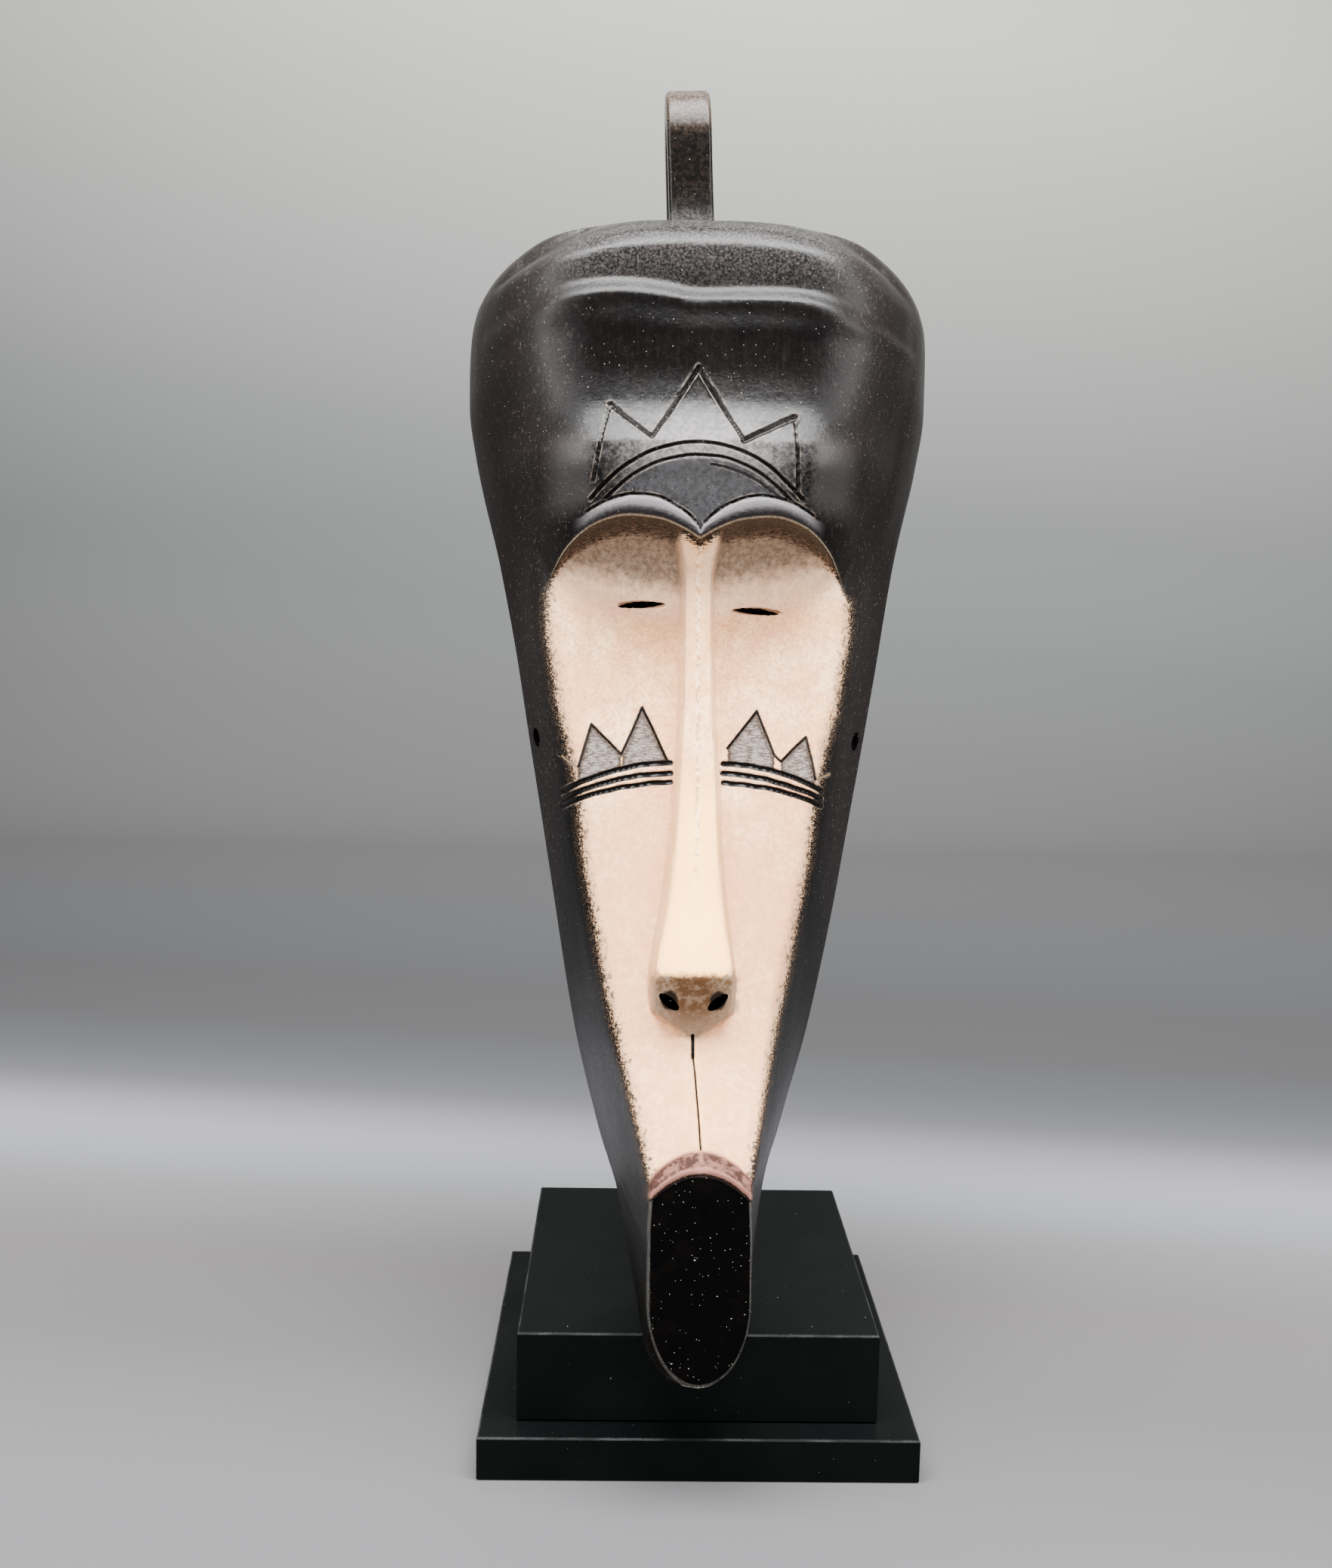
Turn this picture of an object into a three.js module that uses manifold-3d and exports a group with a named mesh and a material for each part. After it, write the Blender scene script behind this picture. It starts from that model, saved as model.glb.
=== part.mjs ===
// A long carved mask with a loop handle on its crown, held by a steel rod over a black two-step stand.
// Millimetres, +Z up, the face looks along -Y. The origin is the middle of the stand's underside.
// The mask is shaped in its own frame: x across, h up its length from the tip of the chin,
// and depth forward of the flat back edge. That frame leans back and is set over the stand.
import * as THREE from "three";
import { mergeVertices } from "three/addons/utils/BufferGeometryUtils.js";
import Module from "manifold-3d";

const wasm = await Module();
wasm.setup();

const TOUCH_GAP = 0.3;
const degrees = THREE.MathUtils.degToRad;

const LOWER_BOARD = { width: 190, depth: 185, height: 19.5, edge: 0.8 };
const UPPER_BLOCK = { width: 157, depth: 162, height: 40.3, edge: 0.8, shift: new THREE.Vector2(-0.4, 1.6) };
const ROD = { radius: 5, x: -3.6, y: 24, intoBlock: 20, intoCrown: 12 };

const MASK_ORIGIN = new THREE.Vector3(-3.1, -2.3, 40.5);
const LEAN_BACK = degrees(8.6);
const LEAN_LEFT = degrees(0.2);

const CROWN = {
  height: 503, halfWidth: 111.8, widestAt: 447, power: 3.75, patchFrom: 400, roofSlope: 24, corner: 4,
};
const CROWN_CORNER = CROWN.halfWidth * 0.5 ** (1 / CROWN.power);
const CHIN = { depth: 120, keelHeight: 68, keelBulge: 5, facetRound: 33, edgeRound: 12 };
const WALL = 11;
const CAVITY = { from: 84, to: 483, round: 12 };

const BROW = { root: 352, step: 3.2, scoop: 11, scoopReach: 7, scoopWidth: 72, fall: 14 };
const LIPS = { centre: 1, halfWidth: 20.5, top: 94, bottom: 85, drop: 10.5, swell: 2.6 };
const EYE = { inner: 15.5, outer: 37.5, height: 3.6, left: 328.5, right: 326.2 };
const NOSE = { foot: 2.4, round: 0.11 };
const NOSTRIL = {
  offset: 10.4, centre: -1.9, height: 152.4, long: 10.5, short: 5.6, slant: degrees(42), deep: 12,
};
const CORD_HOLE = { radius: 3.8, height: 269, depth: 9.5 };
const HANDLE = { centre: -4.6, width: 20.5, round: 2.4, lean: degrees(2.4), foot: 490 };
const GROOVE = { width: 1.5, cut: 1.1, clear: 0.9 };

// A smooth curve through stations of [position, value], flat where the stations turn.
function profile(stations) {
  const count = stations.length;
  const slopes = stations.slice(1).map(([at, value], i) => (value - stations[i][1]) / (at - stations[i][0]));
  const tangents = stations.map((_, i) => {
    if (i === 0) return slopes[0];
    if (i === count - 1) return slopes[count - 2];
    const [before, after] = [slopes[i - 1], slopes[i]];
    return before * after <= 0 ? 0 : (2 * before * after) / (before + after);
  });
  return (at) => {
    if (at <= stations[0][0]) return stations[0][1];
    if (at >= stations[count - 1][0]) return stations[count - 1][1];
    const i = stations.findIndex(([next]) => next > at) - 1;
    const span = stations[i + 1][0] - stations[i][0];
    const f = (at - stations[i][0]) / span;
    const ease = f * f * (3 - 2 * f);
    return (
      stations[i][1] * (1 - ease) +
      stations[i + 1][1] * ease +
      span * (tangents[i] * f * (1 - f) ** 2 - tangents[i + 1] * f * f * (1 - f))
    );
  };
}

const smoothstep = (from, to, at) => THREE.MathUtils.smoothstep(at, from, to);
const mix = THREE.MathUtils.lerp;

// The smaller of two depths, with the corner between them rounded over a band.
function roundedMin(a, b, band) {
  const near = Math.max(band - Math.abs(a - b), 0) / band;
  return Math.min(a, b) - (near * near * band) / 4;
}

// Half of an ellipse that closes a width to nothing at height 0.
function roundEnd(h, length) {
  return h >= length ? 1 : Math.sqrt(Math.max(0, 1 - ((length - h) / length) ** 2));
}

const backWidth = profile([
  [0, 18], [20, 23.8], [56, 34.1], [70, 40.2], [95, 47.4], [133, 57.1],
  [250, 78.2], [353, 96], [405, 107.8], [430, 111.5], [447, 111.8],
]);
const edgeWidth = profile([
  [0, 21], [60, 21], [76, 20.4], [95, 24.5], [135, 35.5], [176, 45.2], [212, 52], [250, 58.5],
  [284, 65], [321, 70.8], [345, 72.5], [392, 78], [445, 90], [480, 88], [503, 80],
]);
const edgeDepth = profile([
  [0, 120], [74, 119], [95, 106], [120, 84], [150, 64], [190, 52], [260, 42], [345, 40],
  [392, 62], [445, 56], [503, 58],
]);
const wallCurve = profile([[330, 1], [440, 0.74], [503, 0.7]]);
const edgeBand = profile([[0, 2.5], [72, 3], [95, 8], [150, 12], [330, 12], [400, 20], [470, 22], [503, 14]]);

const faceDepth = profile([
  [0, 120], [74, 120], [84, 119], [94, 114.5], [114, 98], [137, 83], [160, 73.5], [181, 67],
  [215, 59], [250, 54], [300, 50], [335, 48.5], [365, 51],
]);
const faceDrop = profile([
  [60, 0], [80, 2], [95, 8.5], [120, 10], [150, 13.5], [190, 13], [260, 11], [330, 8.5],
]);
const foreheadDepth = profile([
  [340, 80], [352, 84.5], [360, 87.5], [375, 90], [392, 93], [400, 91], [412, 86], [430, 80.8],
  [445, 80.5], [461, 82], [467.5, 78.4], [484, 77.8], [491, 74.5], [498, 68], [503, 60],
]);
const foreheadTurn = profile([[345, 60], [392, 75], [445, 90], [480, 93], [503, 96]]);
const TURN = { drop: 26, power: 3.6 };

const noseWidth = profile([
  [136, 1.5], [140, 8], [147, 16.4], [156, 17.4], [166, 17], [175, 15.8], [195, 12.8], [220, 10.4],
  [247, 9], [282, 7], [337, 6.4], [346, 7.4], [354, 9],
]);
const noseDepth = profile([
  [130, 78], [137, 83.5], [161, 99.8], [164, 101], [174, 97], [200, 84], [250, 71], [300, 67.5],
  [337, 70], [346, 76], [354, 85],
]);
const bow = profile([
  [100, 0], [150, 0.9], [200, 1.6], [300, 1.7], [350, 0.8], [385, 0.2], [447, 0.4], [475, 1.1],
]);
const faceCentre = profile([
  [0, 1], [95, 1], [137, -1.4], [160, -1.9], [200, -1], [250, -0.2], [354, -1], [400, 0],
]);
const browLine = profile([
  [0, BROW.root], [8, 356.4], [18, 360], [32, 361.5], [45, 359], [54, 355],
  [61, 349.5], [66, 343], [71, 334],
]);

// Half width of the back edge. Low down that edge runs forward along the keel under the chin.
function backHalfWidth(h) {
  if (h <= CROWN.widestAt) return backWidth(h) * roundEnd(h, CHIN.edgeRound);
  const rise = Math.min(1, (h - CROWN.widestAt) / (CROWN.height - CROWN.widestAt));
  return CROWN.halfWidth * (1 - rise ** CROWN.power) ** (1 / CROWN.power);
}

function crownTop(x) {
  const across = Math.abs(x) / CROWN.halfWidth;
  return CROWN.widestAt + (CROWN.height - CROWN.widestAt) * (1 - across ** CROWN.power) ** (1 / CROWN.power);
}

// Half width of a grid row. Rows over the patch line end on the side of the crown, below its corner.
function rowHalfWidth(t) {
  if (t <= CROWN.patchFrom) return backHalfWidth(t);
  const rise = (t - CROWN.patchFrom) / (CROWN.height - CROWN.patchFrom);
  return backHalfWidth(mix(CROWN.patchFrom, crownTop(CROWN_CORNER), rise));
}

const facetHalfWidth = (h) => edgeWidth(h) * roundEnd(h, CHIN.facetRound);
const keelDepth = (h) => Math.max(0, CHIN.depth * (1 - h / CHIN.keelHeight));

// How far a point lies into the band of the lips: 0 at the lower edge, 1 at the upper edge.
function acrossLips(x, h) {
  const sag = LIPS.drop * Math.min(1.3, Math.abs(x - LIPS.centre) / LIPS.halfWidth) ** 2;
  return (h + sag - LIPS.bottom) / (LIPS.top - LIPS.bottom);
}

// Depth of the carved front: the face under the brow, the forehead over it, the nose and the lips.
function frontDepth(x, h) {
  const side = Math.abs(x - faceCentre(h));
  const brow = browLine(side);
  const underBrow = Math.max(brow - BROW.step - h, 0);
  const scoopHere = Math.max(0, 1 - (side / BROW.scoopWidth) ** 2) * Math.exp(-underBrow / BROW.scoopReach);
  const scoop = BROW.scoop * scoopHere;
  const face = faceDepth(h) - faceDrop(h) * (side / Math.max(facetHalfWidth(h), 1)) ** 2 + scoop;
  const forehead = foreheadDepth(h) - TURN.drop * (side / foreheadTurn(h)) ** TURN.power;
  let depth = mix(face, Math.max(face, forehead), smoothstep(-BROW.step, 0, h - brow));

  const width = noseWidth(h);
  const ridge = noseDepth(h) - NOSE.round * width * (side / width) ** 2 * (1 + width / 10);
  const onNose = (1 - smoothstep(width - 1, width + NOSE.foot, side)) * (1 - smoothstep(-2, 3, h - brow));
  depth = mix(depth, Math.max(depth, ridge), onNose);

  const lips = acrossLips(x, h);
  const open = 1 - smoothstep(LIPS.halfWidth - 1, LIPS.halfWidth + 2.5, Math.abs(x - LIPS.centre));
  if (lips > 0 && lips < 1) depth += LIPS.swell * Math.sin(Math.PI * lips) * open;
  return depth;
}

// Depth of the outside at a grid place: side wall and crown wall, met by the carved front.
function outerDepth({ x, h, t, fromSide, fromTop }) {
  const edge = facetHalfWidth(t);
  const back = keelDepth(t);
  const reach = Math.max(backHalfWidth(Math.min(t, CROWN.widestAt)) - edge, 0.5);
  let wall = (edgeDepth(t) - back) * (fromSide / reach) ** wallCurve(t);
  if (fromTop !== undefined) {
    const roof = CROWN.roofSlope * fromTop;
    const power = CROWN.corner;
    wall = wall > 0 && roof > 0 ? (wall ** -power + roof ** -power) ** (-1 / power) : 0;
  }
  return roundedMin(wall + back, Math.max(frontDepth(x, h), back), edgeBand(t));
}

// Where a grid line's share of the half width (0 to 1) and a row's height t fall on the mask.
function gridPlace(share, sign, t) {
  if (t <= CROWN.patchFrom) {
    const half = backHalfWidth(t);
    const edge = facetHalfWidth(t);
    const side = share * half;
    const onWall = side > edge ? (side - edge) / (half - edge) : 0;
    const x = sign * side + mix(faceCentre(t), bow(t), onWall);
    const browBend = Math.max(browLine(side) - BROW.root, -BROW.fall) * (1 - smoothstep(64, 84, side));
    const browWeight = smoothstep(285, BROW.root - 5, t) * (1 - smoothstep(358, CROWN.patchFrom, t));
    const lipBend = -LIPS.drop * Math.min(1, side / LIPS.halfWidth) ** 2 * (1 - smoothstep(edge, half, side));
    const lipWeight = smoothstep(36, 78, t) * (1 - smoothstep(95, 128, t));
    return { x, h: t + browBend * browWeight + lipBend * lipWeight, t, fromSide: half - side };
  }
  const rise = (t - CROWN.patchFrom) / (CROWN.height - CROWN.patchFrom);
  const half = rowHalfWidth(t);
  const top = crownTop(CROWN_CORNER * share);
  return {
    x: sign * share * half + bow(t) * 0.7 * share,
    h: CROWN.patchFrom + rise * (top - CROWN.patchFrom),
    t,
    fromSide: (1 - share) * half,
    fromTop: (1 - rise) * (top - CROWN.patchFrom),
  };
}

const GRID_LINES = 15;

// Half widths of the grid lines on a row: nose, cheek, edge of the face, then the side wall.
function gridShares(t) {
  const half = rowHalfWidth(t);
  if (half < 1e-6) return Array.from({ length: GRID_LINES }, (_, i) => i / (GRID_LINES - 1));
  const edge = Math.min(facetHalfWidth(t), half - 0.02);
  const nose = Math.min(t < 132 || t > 356 ? 8 : noseWidth(t), 0.45 * edge);
  const cheekFrom = nose + Math.min(3, 0.12 * edge);
  const cheekTo = edge - Math.min(3.2, 0.1 * edge);
  const wallFrom = edge + Math.min(3, 0.2 * (half - edge));
  const places = [0, 0.45 * nose, 0.85 * nose, nose + 0.02 * edge, cheekFrom];
  for (const f of [0.3, 0.58, 0.84, 1]) places.push(mix(cheekFrom, cheekTo, f));
  places.push(edge, wallFrom);
  for (const f of [0.25, 0.55, 0.82, 1]) places.push(mix(wallFrom, half, f));
  return places.map((place) => place / half);
}

const ROWS = [
  0, 1.2, 4, 8, 13, 20, 30, 42, 55, 68, 74, 79, 83, 85, 87, 89, 91, 93.5, 97, 103, 111, 120, 129, 136, 140,
  145, 150, 155, 159, 161.5, 164, 169, 178, 190, 206, 225, 246, 268, 290, 310, 325, 335, 342, 346.5,
  349, 350.5, 352, 354.5, 358, 363, 371, 381, 391, 400, 409, 419, 430, 442, 453, 461, 464, 467.5, 475, 484,
  488.5, 493, 497, 499.6, 500.8, 501.9, 503,
];

// A closed solid from a front sheet and a back sheet that share their edge.
function solidFromSheets(rows, front, back) {
  const positions = [];
  const index = [];
  const across = front(rows[0]).length;
  for (const sheet of [front, back]) for (const t of rows) for (const p of sheet(t)) positions.push(...p);
  const corner = (i) => new THREE.Vector3().fromArray(positions, 3 * i);
  const sheetSize = rows.length * across;
  for (let sheet = 0; sheet < 2; sheet++) {
    for (let i = 0; i < rows.length - 1; i++) {
      for (let j = 0; j < across - 1; j++) {
        const a = sheet * sheetSize + i * across + j;
        const [b, c, d] = [a + 1, a + across + 1, a + across];
        const shorter = corner(a).distanceTo(corner(c)) <= corner(b).distanceTo(corner(d));
        const halves = shorter ? [a, b, c, a, c, d] : [a, b, d, b, c, d];
        index.push(...(sheet === 0 ? halves : halves.reverse()));
      }
    }
  }
  const geometry = new THREE.BufferGeometry();
  geometry.setAttribute("position", new THREE.Float32BufferAttribute(positions, 3));
  geometry.setIndex(index);
  return toSolid(geometry);
}

function toSolid(geometry) {
  const bare = new THREE.BufferGeometry();
  bare.setAttribute("position", geometry.getAttribute("position"));
  if (geometry.index) bare.setIndex(geometry.index);
  const merged = mergeVertices(bare, 1e-4);
  const kept = [];
  const corners = merged.index.array;
  for (let i = 0; i < corners.length; i += 3) {
    const [a, b, c] = corners.slice(i, i + 3);
    if (a !== b && b !== c && a !== c) kept.push(a, b, c);
  }
  const vertProperties = merged.attributes.position.array;
  const solidFrom = (triVerts) => new wasm.Manifold(new wasm.Mesh({ numProp: 3, vertProperties, triVerts }));
  const solid = solidFrom(new Uint32Array(kept));
  return solid.volume() > 0 ? solid : solidFrom(new Uint32Array(kept.reverse()));
}

function toGeometry(solid) {
  const { vertProperties, triVerts } = solid.getMesh();
  const geometry = new THREE.BufferGeometry();
  geometry.setAttribute("position", new THREE.BufferAttribute(new Float32Array(vertProperties), 3));
  geometry.setIndex(new THREE.BufferAttribute(new Uint32Array(triVerts), 1));
  geometry.computeVertexNormals();
  return geometry;
}

const bothSides = (shares) => [
  ...shares.slice(1).reverse().map((share) => [share, -1]),
  ...shares.map((share) => [share, 1]),
];

function maskOuter() {
  const front = (t) =>
    bothSides(gridShares(t)).map(([share, sign]) => {
      const place = gridPlace(share, sign, t);
      return [place.x, share === 1 ? -keelDepth(t) : -outerDepth(place), place.h];
    });
  const back = (t) =>
    bothSides(gridShares(t)).map(([share, sign]) => {
      const { x, h } = gridPlace(share, sign, t);
      const level = t <= CROWN.patchFrom ? t : h;
      const keel = keelDepth(t);
      const bulge = CHIN.keelBulge * (1 - share * share) * Math.sin((Math.PI * keel) / CHIN.depth);
      return [x, bulge - keel, level];
    });
  return solidFromSheets(ROWS, front, back);
}

const cavityDepth = profile([
  [84, 0], [88, 24], [98, 50], [115, 64], [137, 61], [160, 55], [181, 50], [215, 45], [250, 42], [300, 39],
  [352, 37], [367, 39], [384, 64], [396, 72], [415, 70], [440, 66], [470, 63], [479, 55], [483, 0],
]);

function cavityHalfWidth(h) {
  const ends = roundEnd(h - CAVITY.from, 40) * roundEnd(CAVITY.to - h, 34);
  return (backHalfWidth(h) - WALL) * ends;
}

// The hollow: open at the back, its floor following the outside a wall's thickness in.
function maskHollow() {
  const rows = [84, 86, 90, 97, 108, 122, 140, 165, 195, 230, 270, 305, 332, 346, 356, 366, 380, 400, 420];
  rows.push(440, 456, 467, 475, 480, 482.2, 483);
  const lines = [-1, -0.93, -0.84, -0.7, -0.5, -0.25, 0, 0.25, 0.5, 0.7, 0.84, 0.93, 1];
  const behind = 5;
  const front = (h) =>
    lines.map((line) => {
      const half = cavityHalfWidth(h);
      const steep = edgeDepth(h) / Math.max(backHalfWidth(h) - facetHalfWidth(h), 20);
      const wall = Math.min(steep, 4.5) * (1 - Math.abs(line)) * half;
      const floor = cavityDepth(h) * (1 - 0.16 * line * line);
      const deep = Math.abs(line) === 1 ? 0 : roundedMin(wall + behind, floor + behind, CAVITY.round);
      return [line * half, behind - deep, h];
    });
  const back = (h) => lines.map((line) => [line * cavityHalfWidth(h), behind, h]);
  return solidFromSheets(rows, front, back);
}

// A lens-shaped slit, cut straight through the face.
function eyeSlit(sign, height) {
  const middle = (sign * (EYE.inner + EYE.outer)) / 2;
  const half = (EYE.outer - EYE.inner) / 2;
  const lens = new THREE.Shape();
  lens.moveTo(-half, 0);
  lens.quadraticCurveTo(0, EYE.height, half, 0);
  lens.quadraticCurveTo(0, -EYE.height, -half, 0);
  const geometry = new THREE.ExtrudeGeometry(lens, { depth: 60, bevelEnabled: false, curveSegments: 7 });
  geometry.rotateX(Math.PI / 2).translate(middle, -10, height);
  return toSolid(geometry);
}

function nostril(sign) {
  const geometry = new THREE.CylinderGeometry(NOSTRIL.short / 2, NOSTRIL.short / 2, NOSTRIL.deep * 2, 14);
  geometry.scale(NOSTRIL.long / NOSTRIL.short, 1, 1);
  geometry.rotateY(-sign * NOSTRIL.slant);
  geometry.rotateX(degrees(35));
  geometry.translate(NOSTRIL.centre + sign * NOSTRIL.offset, -noseDepth(NOSTRIL.height) + 2, NOSTRIL.height);
  return toSolid(geometry);
}

function cordHole(sign) {
  const geometry = new THREE.CylinderGeometry(CORD_HOLE.radius, CORD_HOLE.radius, 60, 16);
  geometry.rotateZ(Math.PI / 2);
  geometry.translate(sign * backHalfWidth(CORD_HOLE.height), -CORD_HOLE.depth, CORD_HOLE.height);
  return toSolid(geometry);
}

// The loop handle, drawn from the side: forward foot, bent front leg, round top, back leg.
function loopHandle() {
  const side = new THREE.Shape();
  side.moveTo(57, HANDLE.foot);
  side.bezierCurveTo(52, 512, 54, 528, 57, 545);
  side.bezierCurveTo(56, 560, 50, 570, 35, 570);
  side.bezierCurveTo(18, 570, 10, 558, 9, 540);
  side.bezierCurveTo(8, 520, 6, 508, 4, HANDLE.foot);
  const gap = new THREE.Path();
  gap.moveTo(42, 512);
  gap.bezierCurveTo(42, 528, 45, 541, 43, 548);
  gap.bezierCurveTo(40, 558, 26, 559, 23, 546);
  gap.bezierCurveTo(21, 538, 21, 525, 19, 512);
  gap.bezierCurveTo(24, 508, 37, 508, 42, 512);
  side.holes.push(gap);
  const geometry = new THREE.ExtrudeGeometry(side, {
    depth: HANDLE.width - 2 * HANDLE.round,
    bevelThickness: HANDLE.round,
    bevelSize: HANDLE.round,
    bevelOffset: -HANDLE.round,
    bevelSegments: 2,
    curveSegments: 7,
  });
  // Drawn with depth along x and height along y; turned so that depth runs along -y and height along z.
  geometry.translate(0, 0, -(HANDLE.width - 2 * HANDLE.round) / 2);
  geometry.rotateX(Math.PI / 2).rotateZ(-Math.PI / 2);
  geometry.translate(0, 0, -HANDLE.foot).rotateY(-HANDLE.lean).translate(HANDLE.centre, 0, HANDLE.foot);
  return toSolid(geometry);
}

// A shallow V cut that follows the surface along a line of [x, h] points.
function groove(line) {
  const at = ([x, h]) => new THREE.Vector3(x, -frontDepth(x, h), h);
  const rings = line.map((point, i) => {
    const here = at(point);
    const along = at(line[Math.min(i + 1, line.length - 1)]).sub(at(line[Math.max(i - 1, 0)])).normalize();
    const [x, h] = point;
    const step = 1.5;
    const acrossX = at([x + step, h]).sub(at([x - step, h]));
    const upH = at([x, h + step]).sub(at([x, h - step]));
    const out = acrossX.cross(upH).normalize();
    const aside = out.clone().cross(along).normalize();
    const wide = (GROOVE.width / 2) * ((GROOVE.cut + GROOVE.clear) / GROOVE.cut);
    const top = here.clone().addScaledVector(out, GROOVE.clear);
    return [
      here.clone().addScaledVector(out, -GROOVE.cut),
      top.clone().addScaledVector(aside, wide),
      top.clone().addScaledVector(aside, -wide),
    ];
  });
  const positions = rings.flat().flatMap((p) => p.toArray());
  const index = [];
  for (let i = 0; i < rings.length - 1; i++) {
    for (let j = 0; j < 3; j++) {
      const [a, b] = [3 * i + j, 3 * i + ((j + 1) % 3)];
      index.push(a, b, b + 3, a, b + 3, a + 3);
    }
  }
  const last = 3 * (rings.length - 1);
  index.push(0, 2, 1, last, last + 1, last + 2);
  const geometry = new THREE.BufferGeometry();
  geometry.setAttribute("position", new THREE.Float32BufferAttribute(positions, 3));
  geometry.setIndex(index);
  return toSolid(geometry);
}

// Points along h = f(x) between two places across the mask.
function drawn(from, to, steps, heightAt) {
  return Array.from({ length: steps + 1 }, (_, i) => {
    const x = mix(from, to, i / steps);
    return [x, heightAt(x)];
  });
}

const straight = (from, to, steps = 2) =>
  drawn(from[0], to[0], steps, (x) => mix(from[1], to[1], (x - from[0]) / (to[0] - from[0])));

function foreheadGrooves() {
  const arc = (centre, half, top, drop) =>
    drawn(centre - half, centre + half, 10, (x) => top - drop * (Math.abs(x - centre) / half) ** 2.1);
  const crest = [[-41, 411], [-22.6, 394.8], [-2.3, 428.4], [17.2, 393.8], [39.5, 406]];
  const lines = [arc(-2.5, 46.5, 392.5, 23), arc(-2, 41, 387, 18)];
  for (let i = 0; i < crest.length - 1; i++) lines.push(straight(crest[i], crest[i + 1]));
  lines.push(straight([39.6, 406], [41.2, 374]), straight([-41, 411], [-48, 376.5]));
  const upperBrow = (side) => 356.5 + 14.3 * Math.sin((Math.min(side, 52) / 54) ** 0.8 * Math.PI * 0.86);
  for (const sign of [-1, 1]) {
    lines.push(drawn(-1 + sign * 2, -1 + sign * 50, 7, (x) => upperBrow(Math.abs(x + 1))));
  }
  return lines;
}

function cheekGrooves() {
  const lines = [];
  const rules = [[256.3, 12.8], [251.6, 12], [247.3, 10.6]];
  const outer = 60;
  for (const sign of [-1, 1]) {
    for (const [height, drop] of rules) {
      lines.push(drawn(sign * 12, sign * outer, 4, (x) => height - drop * (Math.abs(x) / outer) ** 2.4));
    }
    const points = [[13.3, 260], [26, 281], [35, 260], [49.5, 271.5], [55, 253]];
    for (let i = 0; i < points.length - 1; i++) {
      const [from, to] = [points[i], points[i + 1]];
      lines.push(straight([sign * from[0], from[1]], [sign * to[0], to[1]], 1));
    }
  }
  lines.push(straight([-1.6, 135], [1, 94.5], 4));
  return lines;
}

function mask() {
  let solid = maskOuter().add(loopHandle()).subtract(maskHollow());
  const cuts = [
    eyeSlit(-1, EYE.left),
    eyeSlit(1, EYE.right),
    nostril(-1),
    nostril(1),
    cordHole(-1),
    cordHole(1),
    rodSocket(),
    ...foreheadGrooves().map(groove),
    ...cheekGrooves().map(groove),
  ];
  for (const cut of cuts) solid = solid.subtract(cut);
  return toGeometry(solid);
}

const maskPose = new THREE.Matrix4().compose(
  MASK_ORIGIN,
  new THREE.Quaternion().setFromEuler(new THREE.Euler(-LEAN_BACK, -LEAN_LEFT, 0, "YXZ")),
  new THREE.Vector3(1, 1, 1),
);

// The height over the stand at which the upright rod meets the roof of the hollow.
function rodMeetsRoof() {
  const inMask = new THREE.Vector3(ROD.x, ROD.y, 0).applyMatrix4(maskPose.clone().invert());
  return (CAVITY.to - inMask.z) / Math.cos(LEAN_BACK);
}

const rodTop = rodMeetsRoof() + ROD.intoCrown;
const blockBottom = LOWER_BOARD.height + TOUCH_GAP;
const blockTop = blockBottom + UPPER_BLOCK.height;
const rodBottom = blockTop - ROD.intoBlock;

function uprightBar(radius, from, to, sides = 20) {
  const geometry = new THREE.CylinderGeometry(radius, radius, to - from, sides);
  return geometry.rotateX(Math.PI / 2).translate(ROD.x, ROD.y, (from + to) / 2);
}

function rodSocket() {
  const bar = uprightBar(ROD.radius + TOUCH_GAP, rodTop - 2 * ROD.intoCrown, rodTop + TOUCH_GAP);
  return toSolid(bar.applyMatrix4(maskPose.clone().invert()));
}

function board({ width, depth, height, edge }) {
  const outline = new THREE.Shape();
  const [x, y] = [width / 2 - edge, depth / 2 - edge];
  outline.moveTo(-x, -y);
  outline.lineTo(x, -y);
  outline.lineTo(x, y);
  outline.lineTo(-x, y);
  outline.closePath();
  const geometry = new THREE.ExtrudeGeometry(outline, {
    depth: height - 2 * edge,
    bevelThickness: edge,
    bevelSize: edge,
    bevelSegments: 1,
  });
  return geometry.translate(0, 0, edge);
}

function upperBlock() {
  const { shift } = UPPER_BLOCK;
  const block = toSolid(board(UPPER_BLOCK).translate(shift.x, shift.y, blockBottom));
  const socket = uprightBar(ROD.radius + TOUCH_GAP, rodBottom - TOUCH_GAP, blockTop + 5);
  return toGeometry(block.subtract(toSolid(socket)));
}

const blackPaint = new THREE.MeshStandardMaterial({ color: 0x15161a, roughness: 0.45, metalness: 0 });
const darkWood = new THREE.MeshStandardMaterial({ color: 0x2a2422, roughness: 0.35, metalness: 0 });
const steel = new THREE.MeshStandardMaterial({ color: 0x26272a, roughness: 0.4, metalness: 0.9 });

function named(name, geometry, material) {
  const mesh = new THREE.Mesh(geometry, material);
  mesh.name = name;
  return mesh;
}

const maskMesh = named("mask", mask(), darkWood);
maskMesh.applyMatrix4(maskPose);

const maskOnStand = new THREE.Group();
maskOnStand.add(
  maskMesh,
  named("stand_lower_board", board(LOWER_BOARD), blackPaint),
  named("stand_upper_block", upperBlock(), blackPaint),
  named("support_rod", uprightBar(ROD.radius, rodBottom, rodTop), steel),
);

export default maskOnStand;
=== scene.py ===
"""A carved fang mask on its black two-tier stand: the shown surfaces and the photo's view of them."""

import math
from functools import partial

import bmesh
import bpy
import numpy as np
from mathutils import Matrix, Vector, noise


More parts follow.
